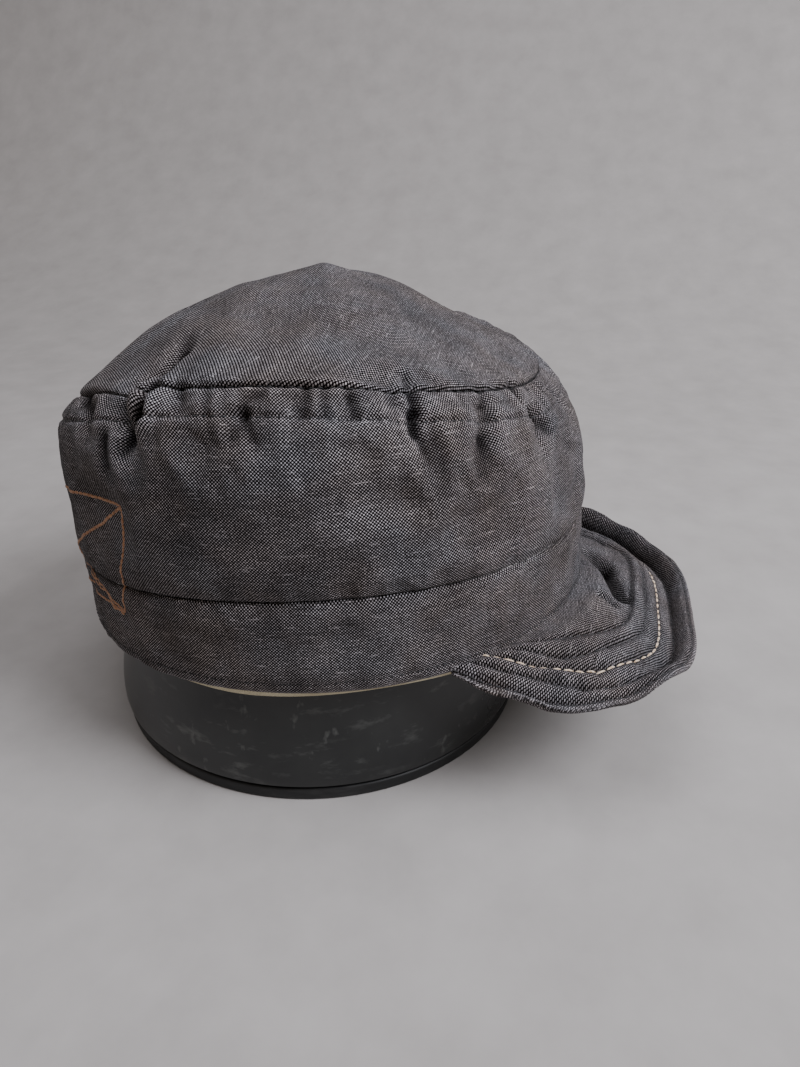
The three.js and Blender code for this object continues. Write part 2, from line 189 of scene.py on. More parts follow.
def smooth(value, low, high):
    """Eases from 0 at low to 1 at high."""
    share = np.clip((value - low) / (high - low), 0, 1)
    return share * share * (3 - 2 * share)


def bell(value, width):
    return np.exp(-((value / width) ** 2))


def turn_between(a, b):
    return (a - b + 180) % 360 - 180


def plain_cloth(angle, level):
    """Points in millimetres of the crown without its folds, for arrays of angles and levels."""
    angle, level = np.broadcast_arrays(np.asarray(angle, float), np.asarray(level, float))
    forward, aside = np.cos(np.radians(angle)), np.sin(np.radians(angle))
    rows = []
    for section in SECTIONS:
        tilt = (section.front_z - section.back_z) / 2
        saddle = (section.front_z + section.back_z) / 2 - section.side_z
        height = section.side_z + tilt * forward + saddle * forward**2
        ahead = section.centre_y - section.half_length * forward
        rows.append(np.stack([-section.half_width * aside, ahead, height], axis=-1))
    rows = [2 * rows[0] - rows[1], *rows, 2 * rows[-1] - rows[-2]]
    rows = np.array(rows)
    index = np.clip(level.astype(int), 0, TOP_LEVEL - 1)
    share = (level - index)[..., None]
    picked = [np.take_along_axis(rows, (index + k)[None, ..., None], axis=0)[0] for k in range(4)]
    before, start, end, after = picked
    # A centripetal spline: the square roots of the distances are its steps.
    steps = [
        np.sqrt(np.linalg.norm(b - a, axis=-1, keepdims=True)) for a, b in zip(picked, picked[1:])
    ]
    leave = (start - before) / steps[0] - (end - before) / (steps[0] + steps[1]) + (end - start) / steps[1]
    arrive = (end - start) / steps[1] - (after - start) / (steps[1] + steps[2]) + (after - end) / steps[2]
    leave, arrive = leave * steps[1], arrive * steps[1]
    square, cube = share**2, share**3
    return (
        start
        + leave * share
        + (3 * (end - start) - 2 * leave - arrive) * square
        + (2 * (start - end) + leave + arrive) * cube
    )


LEVEL_STEP = 0.02
ANGLE_STEP = 0.5


def outward(angle, level):
    """The outward direction of the plain crown."""
    low, high = np.maximum(level - LEVEL_STEP, 0), np.minimum(level + LEVEL_STEP, TOP_LEVEL)
    around = plain_cloth(angle + ANGLE_STEP, level) - plain_cloth(angle - ANGLE_STEP, level)
    up = plain_cloth(angle, high) - plain_cloth(angle, low)
    normal = np.cross(up, around)
    length = np.linalg.norm(normal, axis=-1, keepdims=True)
    normal = normal / np.maximum(length, 1e-9)
    at_peak = (level > TOP_LEVEL - 0.05)[..., None]
    return np.where(at_peak, np.array([0.0, 0.0, 1.0]), normal)


def radius_at(point):
    return np.hypot(point[..., 0], point[..., 1] - SECTIONS[LEVEL["belly"]].centre_y)


# Where along a fold it starts, is full, starts to fade and ends, as shares of its length.
Run = namedtuple("Run", "start full fades end")
FOLD_RUN = Run(-0.1, 0.4, 0.75, 1.1)
CREASE_RUN = Run(0.05, 0.4, 0.8, 1.0)


def beside_fold(fold, angle, level, radius, run):
    """How far places lie across from a fold's line, in millimetres, and how strong the fold is there."""
    along = (level - fold.from_level) / (fold.to_level - fold.from_level)
    centre = fold.angle + fold.lean * (along - 0.5)
    across = np.radians(turn_between(angle, centre)) * radius
    return across, smooth(along, run.start, run.full) * (1 - smooth(along, run.fades, run.end))


def hollowed_in(hollow, angle, level, radius):
    across = np.radians(turn_between(angle, hollow.angle)) * radius
    return hollow.depth * bell(across, hollow.width) * bell(level - hollow.level, hollow.reach)


def pressed_in(angle, level, radius):
    """How far the folds and hollows press the cloth in, in millimetres."""
    depth = np.zeros_like(radius)
    for fold in FOLDS:
        across, strength = beside_fold(fold, angle, level, radius, FOLD_RUN)
        depth += fold.depth * strength * bell(across, fold.width)
    for hollow in HOLLOWS:
        depth += hollowed_in(hollow, angle, level, radius)
    return depth


CREASE_WIDTH = 1.5
CREASE_SHARE = 0.35


def creased_in(angle, level, radius):
    """A narrow crease down the middle of each fold."""
    depth = np.zeros_like(radius)
    for fold in FOLDS:
        across, strength = beside_fold(fold, angle, level, radius, CREASE_RUN)
        depth += CREASE_SHARE * fold.depth * strength * bell(across, CREASE_WIDTH)
    return depth


Pleat = namedtuple("Pleat", "angle level to_angle to_level width depth to_depth")
# Sharp pleats and puckers of the side that shows, each a straight run from one angle and level to
# another. A run may go on from the one before it.
PLEATS = (
    Pleat(122, 5.85, 107, 5.06, 2.4, 0.8, 3),
    Pleat(107, 5.06, 107, 4.2, 2.2, 3, 3.6),
    Pleat(107, 4.2, 112, 3.2, 2.4, 3.6, 1.4),
    Pleat(117, 3.45, 116, 2.8, 2.8, 1.5, 1),
    Pleat(132, 4.95, 124, 4.4, 2.4, 1.6, 1.2),
    Pleat(99, 4.95, 98, 4.2, 1.7, 0.9, 0.7),
    Pleat(83, 4.7, 87.5, 3.4, 1.7, 1.2, 0.7),
    Pleat(73, 4.95, 74, 4.15, 1.5, 1, 0.9),
    Pleat(70, 4.8, 70, 4.15, 1.9, 1.4, 1.2),
    Pleat(65, 4.8, 65, 4.15, 1.7, 1.7, 1.3),
    Pleat(52, 5.3, 53, 4.3, 1.3, 0.8, 2.2),
    Pleat(53, 4.3, 54.5, 3.7, 1.4, 2.2, 1.4),
    Pleat(52, 3.45, 51, 2.5, 3, 0.5, 0.4),
    Pleat(45, 4.54, 29, 4.5, 1.2, 0.5, 0.5),
    Pleat(34.5, 4.95, 36.5, 4.1, 1.8, 0.8, 1.4),
    Pleat(40, 3.4, 42, 2.7, 2.8, 1.1, 0.8),
    Pleat(22.5, 5, 24.5, 4.5, 1.6, 1.4, 1),
    Pleat(20, 4.1, 18.5, 3.4, 2.2, 1.4, 1),
)
# The cloth stands up in a ridge beside each pleat, this many of its widths away.
PLEAT_RIDGE = 0.3
PLEAT_RIDGE_AWAY = 2.3
# Full places where the cloth stands out beside a pleat.
BULGES = (
    Hollow(121, 4.9, 9, 0.6, -0.6),
    Hollow(84, 3.7, 5, 0.6, -1.4),
    Hollow(53, 3.1, 6, 0.9, -2.2),
    Hollow(95, 3.9, 9, 0.6, -0.8),
    Hollow(59, 4.4, 6, 0.5, -0.9),
    Hollow(45, 4.2, 7, 0.5, -0.8),
    Hollow(28, 4.2, 7, 0.6, -0.9),
)


def pleated_in(points):
    """How far the sharp pleats press the cloth in at points of the plain crown."""
    depth = np.zeros(points.shape[:-1])
    for pleat in PLEATS:
        ends = plain_cloth(np.array([pleat.angle, pleat.to_angle]), np.array([pleat.level, pleat.to_level]))
        run = ends[1] - ends[0]
        along = np.clip((points - ends[0]) @ run / (run @ run), 0, 1)
        away = np.linalg.norm(points - ends[0] - run * along[..., None], axis=-1)
        deep = pleat.depth + (pleat.to_depth - pleat.depth) * along
        ridge = PLEAT_RIDGE * bell(away - PLEAT_RIDGE_AWAY * pleat.width, pleat.width)
        depth += deep * (bell(away, pleat.width) - ridge)
    return depth


def bulged(angle, level, radius):
    depth = np.zeros_like(radius)
    for bulge in BULGES:
        depth += hollowed_in(bulge, angle, level, radius)
    return depth


Gathers = namedtuple("Gathers", "seam count depth width reach down seed")
# Each row of gathers fans out from its seam: how many, how deep and wide, how far they reach in
# millimetres, and whether they run down from the seam (-1) or up from it (1).
GATHERS = (
    Gathers("top_seam", 76, 1.15, 2.2, 15, -1, 3),
    Gathers("top_seam", 60, 0.5, 2.6, 9, 1, 5),
    Gathers("band_seam", 46, 0.4, 3.2, 10, 1, 8),
    Gathers("band_seam", 46, 0.4, 3.0, 8, -1, 11),
    Gathers("hem", 50, 0.4, 3.0, 9, 1, 13),
)
# How far the gathers of a row differ: in place, in shares of their spacing, in their shares of the row's
# depth, width and reach, and in how far they lean for each millimetre down.
GATHER_SHIFT = 0.42
GATHER_DEPTHS = (0.25, 1.3)
GATHER_WIDTHS = (0.6, 1.4)
GATHER_REACHES = (0.45, 1.6)
GATHER_LEAN = 0.25


def gather_lines():
    """Every gather as seam level, angle, depth, width, reach, direction and lean, from seeded draws."""
    lines = []
    for row in GATHERS:
        draw = np.random.default_rng(row.seed)
        shifts = draw.uniform(-GATHER_SHIFT, GATHER_SHIFT, row.count)
        for place in (np.arange(row.count) + shifts) * 360 / row.count:
            depth = row.depth * draw.uniform(*GATHER_DEPTHS)
            width = row.width * draw.uniform(*GATHER_WIDTHS)
            reach = row.reach * draw.uniform(*GATHER_REACHES)
            lean = draw.uniform(-GATHER_LEAN, GATHER_LEAN)
            lines.append((LEVEL[row.seam], place, depth, width, reach, row.down, lean))
    return lines


GATHER_LINES = gather_lines()
# A gather starts just across its seam and is full this far from it, with a softer, wider ridge round it.
GATHER_START = -0.2
GATHER_FULL = 1.6
GATHER_RIDGE = 0.45
GATHER_RIDGE_WIDTH = 2.1


def from_seam(point, angle, level, seam_level):
    """How far a place lies above a seam along the cloth, in millimetres, and below it where negative."""
    distance = np.linalg.norm(point - plain_cloth(angle, np.full_like(level, seam_level)), axis=-1)
    return np.where(level >= seam_level, distance, -distance)


def gathered_in(angle, radius, distances):
    """How far the small gathers press the cloth in."""
    depth = np.zeros_like(radius)
    for seam_level, place, deep, width, reach, down, lean in GATHER_LINES:
        away = distances[seam_level] * down
        across = np.radians(turn_between(angle, place)) * radius + lean * away
        run = smooth(away, GATHER_START, GATHER_FULL) * bell(np.maximum(away, 0), reach)
        ridge = GATHER_RIDGE * bell(across, GATHER_RIDGE_WIDTH * width)
        depth += deep * run * (bell(across, width) - ridge)
    return depth


Groove = namedtuple("Groove", "level offset depth width")
# Grooves that the seams and the stitching pull into the cloth. The offset lies above the level.
HEM_STITCH_OFFSET = 5
GROOVES = (
    Groove("top_seam", 0, 1.0, 0.7),
    Groove("top_stitch", 0, 0.7, 0.8),
    Groove("band_seam", 0, 0.8, 0.75),
    Groove("hem", HEM_STITCH_OFFSET, 0.5, 0.9),
    Groove("hem", -0.4, 0.7, 0.8),
)


def sewn_in(distances):
    depth = 0.0
    for groove in GROOVES:
        depth = depth + groove.depth * bell(distances[LEVEL[groove.level]] - groove.offset, groove.width)
    return depth


# Slow swells of the cloth, so that no panel is a perfect surface.
SWELLS = ((34.0, 0.7, 1.0), (15.0, 0.28, 7.0), (6.5, 0.1, 19.0))


def swell(points):
    """Soft noise in millimetres at each point, as size, height and seed give."""
    flat = points.reshape(-1, 3)
    total = np.zeros(len(flat))
    for size, height, seed in SWELLS:
        offset = Vector((seed, -seed, seed))
        total += height * np.array([noise.noise(Vector(p) / size + offset) for p in flat])
    return total.reshape(points.shape[:-1])


# The cloth is held near its seams. The top seam takes this share of the folds away, and each seam this
# share of the swells.
SEAM_LEVELS = tuple(LEVEL[name] for name in ("hem", "band_seam", "top_stitch", "top_seam"))
SEAM_HOLD_WIDTH = 5.0
FOLDS_HELD_AT_SEAM = 0.55
SWELLS_HELD_AT_SEAM = 0.7
# Set further down, from the simulation of the cloth.
crumple_field = None
Cloth = namedtuple("Cloth", "points plain creases distances")


def cloth(angle, level):
    """The finished crown at arrays of angles and levels, in millimetres: its points, the plain form's
    points, how deep the creases and gathers are there, and the distances from the seams."""
    angle, level = np.broadcast_arrays(np.asarray(angle, float), np.asarray(level, float))
    plain = plain_cloth(angle, level)
    radius = radius_at(plain)
    distances = {seam: from_seam(plain, angle, level, seam) for seam in SEAM_LEVELS}
    loose = 1.0
    for seam in SEAM_LEVELS:
        loose = loose * (1 - SWELLS_HELD_AT_SEAM * bell(distances[seam], SEAM_HOLD_WIDTH))
    top_hold = 1 - FOLDS_HELD_AT_SEAM * bell(distances[LEVEL["top_seam"]], SEAM_HOLD_WIDTH)
    creases = creased_in(angle, level, radius) * top_hold + gathered_in(angle, radius, distances)
    creases = creases + pleated_in(plain)
    depth = pressed_in(angle, level, radius) * top_hold + creases + sewn_in(distances)
    depth = depth + bulged(angle, level, radius)
    depth = depth - swell(plain) * loose
    points = plain - outward(angle, level) * depth[..., None]
    if crumple_field is not None:
        points = points + crumple_field(angle, level)
    return Cloth(points, plain, creases, distances)


# The crown's buckling between its seams, by cloth simulation

# The simulated mesh is this many steps round and has rows this far apart. It grows by this share over
# its frames, and no point moves further than the most. On the top the movement counts for less.
CRUMPLE_STEPS = 300
CRUMPLE_ROW = 2.0
CRUMPLE_FRAMES = 16
CRUMPLE_MOST = 1.8
CRUMPLE_GROWTH = 0.019
CRUMPLE_ON_TOP = 0.5
CRUMPLE_EASES_OVER = 0.4
CRUMPLE_ENDS_OVER = 0.5
# The pinned rows hold still, and the others are held by a little. The mesh ends short of the peak.
LOOSELY_PINNED = 0.04
PEAK_PINNED_FROM = 7.2
PEAK_LEFT_OPEN_FROM = 7.5
MERIDIAN_LEVELS = np.linspace(0, TOP_LEVEL, 801)


def meridian_arc():
    """The length along the cloth up the side from the hem, in millimetres, at each of its levels."""
    line = plain_cloth(np.full_like(MERIDIAN_LEVELS, 90.0), MERIDIAN_LEVELS)
    return np.concatenate([[0], np.cumsum(np.linalg.norm(np.diff(line, axis=0), axis=1))])


MERIDIAN_ARC = meridian_arc()


def arc_at(level):
    return float(np.interp(level, MERIDIAN_LEVELS, MERIDIAN_ARC))


def level_at(arc):
    return np.interp(arc, MERIDIAN_ARC, MERIDIAN_LEVELS)


def level_beside(name, distance):
    """The level at a distance in millimetres above a seam, or below it where negative."""
    return float(level_at(arc_at(LEVEL[name]) + distance))


# Rows of points are fine up to the first of these distances from a seam, and coarse from the second.
FINE_ROW = 0.45
FINE_TO = 0.8
COARSE_FROM = 5


def level_rows(start, end, coarse, fine=FINE_ROW):
    """Levels from start to end, close together near the seams, with the rows' distances in millimetres."""
    seam_arcs = [arc_at(seam) for seam in SEAM_LEVELS]
    here, stop = arc_at(start), arc_at(end)
    arcs = [here]
    while here < stop:
        near = min(abs(here - seam) for seam in seam_arcs)
        here += fine + (coarse - fine) * float(smooth(near, FINE_TO, COARSE_FROM))
        arcs.append(here)
    arcs = np.array(arcs)
    arcs = arcs[0] + (arcs - arcs[0]) * (stop - arcs[0]) / (arcs[-1] - arcs[0])
    return level_at(arcs)


def bare_mesh(name, points, faces):
    """A mesh object from points in millimetres."""
    mesh = bpy.data.meshes.new(name)
    mesh.from_pydata((np.asarray(points).reshape(-1, 3) * MM).tolist(), [], faces)
    obj = bpy.data.objects.new(name, mesh)
    bpy.context.scene.collection.objects.link(obj)
    return obj


def ring_faces(rows, steps):
    """Faces that join rings of points, each ring above the one before and turning the same way."""
    faces = []
    for row in range(rows - 1):
        for i in range(steps):
            following = (i + 1) % steps
            low, high = row * steps, (row + 1) * steps
            faces.append((low + i, high + i, high + following, low + following))
    return faces


def simulate_crumple():
    """Grows the cloth a little between its pinned seams, and returns how far each point moved."""
    angles = np.arange(CRUMPLE_STEPS) * 360 / CRUMPLE_STEPS
    rows = level_rows(0, PEAK_LEFT_OPEN_FROM, CRUMPLE_ROW, CRUMPLE_ROW)
    angle, level = np.meshgrid(angles, rows)
    start = plain_cloth(angle, level)
    radius = radius_at(start)
    start = start - outward(angle, level) * pressed_in(angle, level, radius)[..., None]
    obj = bare_mesh("crumple", start, ring_faces(len(rows), CRUMPLE_STEPS))
    pinned = obj.vertex_groups.new(name="pinned")
    seam_rows = {int(np.argmin(np.abs(rows - seam))) for seam in SEAM_LEVELS}
    for row in range(len(rows)):
        held = row in seam_rows or rows[row] > PEAK_PINNED_FROM
        weight = 1.0 if held else LOOSELY_PINNED
        pinned.add(list(range(row * CRUMPLE_STEPS, (row + 1) * CRUMPLE_STEPS)), weight, "REPLACE")
    modifier = obj.modifiers.new("cloth", "CLOTH")
    settings = modifier.settings
    settings.quality = 6
    settings.mass = 0.2
    settings.tension_stiffness = settings.compression_stiffness = 18
    settings.shear_stiffness = 6
    settings.bending_stiffness = 0.6
    settings.shrink_min = -CRUMPLE_GROWTH
    settings.vertex_group_mass = "pinned"
    settings.effector_weights.gravity = 0
    modifier.collision_settings.use_collision = False
    modifier.point_cache.frame_start = 1
    modifier.point_cache.frame_end = CRUMPLE_FRAMES
    scene = bpy.context.scene
    for number in range(1, CRUMPLE_FRAMES + 1):
        scene.frame_set(number)
    settled = obj.evaluated_get(bpy.context.evaluated_depsgraph_get()).to_mesh()
    end = np.empty(len(settled.vertices) * 3)
    settled.vertices.foreach_get("co", end)
    scene.frame_set(1)
    bpy.data.objects.remove(obj)
    moved = end.reshape(start.shape) / MM - start
    length = np.linalg.norm(moved, axis=-1, keepdims=True)
    moved *= np.minimum(1, CRUMPLE_MOST / np.maximum(length, 1e-6))
    return rows, moved


def make_crumple_field(rows, moved):
    """A function that gives the simulated movement at any angle and level."""
    steps = moved.shape[1]

    def field(angle, level):
        across = (np.asarray(angle, float) % 360) * steps / 360
        column = np.floor(across).astype(int)
        share = across - column
        up = np.interp(level, rows, np.arange(len(rows)))
        row = np.clip(np.floor(up).astype(int), 0, len(rows) - 2)
        rise = up - row
        total = 0.0
        for k, weight in enumerate(spline_weights(share), start=-1):
            lower = moved[row, (column + k) % steps]
            upper = moved[row + 1, (column + k) % steps]
            total = total + weight[..., None] * (lower + (upper - lower) * rise[..., None])
        fade = 1 - smooth(level, rows[-1] - CRUMPLE_ENDS_OVER, rows[-1])
        on_top = smooth(level, LEVEL["top_seam"], LEVEL["top_seam"] + CRUMPLE_EASES_OVER)
        fade = fade * (1 - (1 - CRUMPLE_ON_TOP) * on_top)
        return total * np.asarray(fade)[..., None]

    return field


def spline_weights(t):
    """The four weights of a Catmull-Rom spline."""
    return (
        0.5 * (-(t**3) + 2 * t**2 - t),
        0.5 * (3 * t**3 - 5 * t**2 + 2),
        0.5 * (-3 * t**3 + 4 * t**2 + t),
        0.5 * (t**3 - t**2),
    )


# Making the pieces


def deselect():
    if bpy.context.object and bpy.context.object.mode != "OBJECT":
        bpy.ops.object.mode_set(mode="OBJECT")
    bpy.ops.object.select_all(action="DESELECT")


def pick(obj):
    deselect()
    obj.select_set(True)
    bpy.context.view_layer.objects.active = obj


def apply_modifier(obj, name, kind, **settings):
    pick(obj)
    modifier = obj.modifiers.new(name, kind)
    for key, value in settings.items():
        setattr(modifier, key, value)
    bpy.ops.object.modifier_apply(modifier=name)


def shade_smooth(obj):
    obj.data.polygons.foreach_set("use_smooth", np.ones(len(obj.data.polygons), bool))
    obj.data.update()


def set_uv(obj, corner_uv):
    layer = obj.data.uv_layers.new(name="cloth")
    layer.data.foreach_set("uv", np.asarray(corner_uv, np.float32).ravel())


def set_attribute(obj, name, values):
    attribute = obj.data.attributes.new(name, "FLOAT", "POINT")
    attribute.data.foreach_set("value", np.asarray(values, np.float32).ravel())


def thicken(obj, thickness):
    """Gives a sheet its thickness, in millimetres, inwards from its outer face."""
    wall = {"thickness": thickness * MM, "offset": -1, "use_even_offset": False}
    apply_modifier(obj, "wall", "SOLIDIFY", **wall)


def dress(obj, material, node=None):
    """Gives a piece its material and its body, and hides the CAD node that it stands for."""
    obj.data.materials.append(material)
    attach(obj, "root")
    if node:
        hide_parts(node)
    return obj


CROWN_STEPS = 600
BELLY_ROUND = 594.0
# The distances between rows of points away from the seams.
BAND_ROW = 1.3
SIDE_ROW = 1.35
TOP_ROW = 1.5


def wall_uv(shape, angles, arcs):
    """UVs in metres for a ring wall: round the cap along u and up the cloth along v."""
    rows, steps = shape
    across = np.append(angles, 360.0) / 360 * BELLY_ROUND * MM
    corners = []
    for row in range(rows - 1):
        for i in range(steps):
            corners.append((across[i], arcs[row, i]))
            corners.append((across[i], arcs[row + 1, i]))
            corners.append((across[i + 1], arcs[row + 1, (i + 1) % steps]))
            corners.append((across[i + 1], arcs[row, (i + 1) % steps]))
    return corners


WORN_ABOVE_HEM = 0.9


def worn_at(distances):
    """How worn and pale the thread is: on the ridge of the hem, which rubs most."""
    return bell(distances[LEVEL["hem"]] - WORN_ABOVE_HEM, 1.0)


def ring_wall(name, levels, thickness):
    """A ring of the crown's cloth between two levels, given its thickness inwards."""
    angles = np.arange(CROWN_STEPS) * 360 / CROWN_STEPS
    angle, level = np.meshgrid(angles, levels)
    made = cloth(angle, level)
    arcs = np.zeros(level.shape)
    arcs[1:] = np.cumsum(np.linalg.norm(np.diff(made.plain, axis=0), axis=-1), axis=0)
    start_arc = made.distances[LEVEL["hem"]][:1]
    obj = bare_mesh(name, made.points, ring_faces(len(levels), CROWN_STEPS))
    set_uv(obj, wall_uv(level.shape, angles, (arcs + start_arc) * MM))
    set_attribute(obj, "wear", worn_at(made.distances))
    # The fold depths drive the painted shade in the folds and the painted light on their ridges.
    set_attribute(obj, "crease", made.creases)
    shade_smooth(obj)
    thicken(obj, thickness)
    return obj


def make_crown_side():
    start, end = level_beside("band_seam", GAP / 2), level_beside("top_seam", -GAP / 2)
    return ring_wall("side_panel", level_rows(start, end, SIDE_ROW), CROWN_THICKNESS)


def make_band():
    end = level_beside("band_seam", -GAP / 2)
    return ring_wall("hat_band", level_rows(0, end, BAND_ROW), BAND_THICKNESS)


TOP_STEPS = 480
PEAK_RING_LEVEL = 7.93
PEAK_TIP_RISE = 0.15


def make_crown_top():
    """The oval top. Its UVs lay the cloth out flat round the peak."""
    start = level_beside("top_seam", GAP / 2)
    levels = level_rows(start, PEAK_RING_LEVEL, TOP_ROW)
    angles = np.arange(TOP_STEPS) * 360 / TOP_STEPS
    angle, level = np.meshgrid(angles, levels)
    made = cloth(angle, level)
    peak = made.points[-1].mean(axis=0) + np.array([0, 0, PEAK_TIP_RISE])
    everything = np.vstack([made.points.reshape(-1, 3), peak])
    faces = ring_faces(len(levels), TOP_STEPS)
    last, tip = (len(levels) - 1) * TOP_STEPS, len(everything) - 1
    faces += [(last + i, tip, last + (i + 1) % TOP_STEPS) for i in range(TOP_STEPS)]
    obj = bare_mesh("top_panel", everything, faces)
    corners = np.concatenate([np.asarray(face) for face in faces])
    steps_in = np.linalg.norm(np.diff(made.plain[::-1], axis=0), axis=-1)
    inner = np.linalg.norm(made.plain[-1] - peak, axis=-1)
    reach = np.vstack([inner[None], inner + np.cumsum(steps_in, axis=0)])[::-1]
    spread_out = np.stack([-np.sin(np.radians(angle)), -np.cos(np.radians(angle))], axis=-1)
    flat = np.vstack([(spread_out * reach[..., None]).reshape(-1, 2), [0, 0]])
    set_uv(obj, flat[corners] * MM)
    set_attribute(obj, "wear", np.append(worn_at(made.distances).ravel(), 0))
    # The fold depths drive the painted shade in the folds and the painted light on their ridges.
    set_attribute(obj, "crease", np.append(made.creases.ravel(), 0))
    shade_smooth(obj)
    thicken(obj, CROWN_THICKNESS)
    return obj


SWEATBAND_STEPS = 360
SWEATBAND_ROWS = 14
# The edge wanders with a noise that is read on a ring: how large the ring is, and how high it lies.
SWEATBAND_WAVES = 2.6
SWEATBAND_NOISE_ROW = 0.3
SWEATBAND_EDGE_POWER = 6


def make_sweatband():
    """The cream tape inside the band, a little uneven where its edge shows under the hem."""
    outside = BAND_THICKNESS + GAP
    angles = np.arange(SWEATBAND_STEPS) * 360 / SWEATBAND_STEPS
    levels = np.linspace(0, SWEATBAND_TOP_LEVEL, SWEATBAND_ROWS)
    angle, level = np.meshgrid(angles, levels)
    points = plain_cloth(angle, level)
    depth = pressed_in(angle, level, radius_at(points)) + outside
    points = points - outward(angle, level) * depth[..., None]
    low = (1 - level / SWEATBAND_TOP_LEVEL) ** SWEATBAND_EDGE_POWER
    uneven = []
    for turn in np.radians(angles):
        around = Vector((math.cos(turn), math.sin(turn), SWEATBAND_NOISE_ROW))
        uneven.append(noise.noise(around * SWEATBAND_WAVES))
    shows = SWEATBAND_SHOWS + SWEATBAND_UNEVEN * np.array(uneven)[None, :]
    away = np.abs(turn_between(angles, SWEATBAND_HIDES_AT))
    hides = 1 - smooth(away, SWEATBAND_HIDES_NEAR, SWEATBAND_HIDES_FAR)
    shows = shows - SWEATBAND_HIDES_BY * hides[None, :]
    points[..., 2] -= low * shows
    points += outward(angle, level) * (low * SWEATBAND_FLARE)[..., None]
    obj = bare_mesh("tape", points, ring_faces(SWEATBAND_ROWS, SWEATBAND_STEPS))
    heights = np.linspace(0, SWEATBAND_WEAVE_HEIGHT, SWEATBAND_ROWS)[:, None] * MM
    set_uv(obj, wall_uv(level.shape, angles, np.broadcast_to(heights, level.shape)))
    shade_smooth(obj)
    thicken(obj, SWEATBAND_THICKNESS)
    return obj


# The brim


def brim_edge(turn):
    """The brim's outline in plan, from the wearer's right at a turn of 90 to the left at -90."""
    aside = np.sin(np.radians(turn))
    ahead = np.maximum(np.cos(np.radians(turn)), 0)
    x = -BRIM_HALF_CHORD * np.sign(aside) * np.abs(aside) ** BRIM_SQUARENESS
    y = BRIM_CORNER_Y - BRIM_REACH * ahead**BRIM_FRONT_ROUNDNESS
    return np.stack([x, y], axis=-1)


OUTLINE_SAMPLES = 6001
EDGE_POINTS = 500
POINTS_AT_ONCE = 4000


def even_turns(count):
    """Turns that space the brim's outline evenly, from the wearer's right to the left."""
    share = np.linspace(-1, 1, OUTLINE_SAMPLES)
    end = math.sin(math.radians(BRIM_END_TURN)) ** BRIM_SQUARENESS
    turns = np.degrees(np.arcsin(np.abs(share * end) ** (1 / BRIM_SQUARENESS))) * -np.sign(share)
    outline = brim_edge(turns)
    arc = np.concatenate([[0], np.cumsum(np.linalg.norm(np.diff(outline, axis=0), axis=1))])
    return np.interp(np.linspace(0, arc[-1], count), arc, turns)


EDGE_LINE = brim_edge(even_turns(EDGE_POINTS))


def distance_to_edge(x, y):
    """How far points in plan lie from the brim's outline, worked out a few thousand at a time."""
    flat = np.stack([np.ravel(x), np.ravel(y)], axis=-1)
    nearest = np.empty(len(flat))
    for start in range(0, len(flat), POINTS_AT_ONCE):
        part = slice(start, start + POINTS_AT_ONCE)
        gaps = flat[part, None] - EDGE_LINE[None]
        nearest[part] = np.sqrt((gaps**2).sum(axis=-1)).min(axis=1)
    return nearest.reshape(np.shape(x))


def station(turn, column):
    """A value of the brim's table at any turn, eased from row to row."""
    rows = BRIM_STATIONS
    value = np.full(np.shape(turn), float(getattr(rows[0], column)))
    for low, high in zip(rows, rows[1:]):
        share = smooth(-np.asarray(turn), -low.turn, -high.turn)
        value = value + share * (getattr(high, column) - getattr(low, column))
    return value


def row_share(turn):
    """How far the stitch rows have closed up towards the edge at a turn."""
    return 1 - (1 - ROWS_CLOSE_UP) * smooth(np.abs(turn), CLOSE_UP_FROM, CLOSE_UP_TO)


def brim_creased(x, y):
    """How far the creases press the brim down."""
    depth = np.zeros(np.shape(x))
    for crease in BRIM_CREASES:
        run = np.array([crease.to_x - crease.x, crease.to_y - crease.y])
        along = ((x - crease.x) * run[0] + (y - crease.y) * run[1]) / (run @ run)
        along = np.clip(along, 0, 1)
        away = np.hypot(x - crease.x - run[0] * along, y - crease.y - run[1] * along)
        depth += crease.depth * bell(away, crease.width)
    return depth


def brim_rib(distance):
    """The swelling between the stitch rows."""
    height = np.zeros_like(distance)
    for start, end in zip(BRIM_ROW_DISTANCES, BRIM_ROW_DISTANCES[1:]):
        inside = (distance >= start) & (distance < end)
        across = np.clip((distance - start) / (end - start), 0, 1)
        height += np.where(inside, np.sin(np.pi * across), 0)
    return BRIM_RIB_HEIGHT * height


BRIM_GROOVE_DEPTH = 0.7
BRIM_GROOVE_WIDTH = 0.8
# Wrinkles across the brim, each lane of them between two stitch rows. Past the rows they fade out.
PUCKER_HEIGHT = 0.4
PUCKER_SIZE = 5.2
PUCKER_LENGTH = 9
PUCKER_LANE = 5.75
PUCKER_LANE_SHIFT = 5.3
PUCKER_FADES_FROM = 22
PUCKER_FADES_TO = 32
PUCKER_FADES_BY = 0.75


def brim_pucker(x, y, distance):
    """Small wrinkles that the stitch rows pull across the brim."""
    total = np.zeros(np.size(x))
    for i, (a, b, d) in enumerate(zip(np.ravel(x), np.ravel(y), np.ravel(distance))):
        lane = math.floor((d - BRIM_ROW_DISTANCES[0]) / PUCKER_LANE)
        inwards = d / PUCKER_LENGTH + PUCKER_LANE_SHIFT * lane
        total[i] = noise.noise(Vector((a / PUCKER_SIZE, b / PUCKER_SIZE, inwards)))
    return total.reshape(np.shape(x))


# The band holds the brim flat up to the first of these shares of the way out, and not past the second.
BRIM_HELD_TO = 0.04
BRIM_FREE_FROM = 0.16
BRIM_FALL_POWER = 1.3


def let_free(out):
    return smooth(out, BRIM_HELD_TO, BRIM_FREE_FROM)


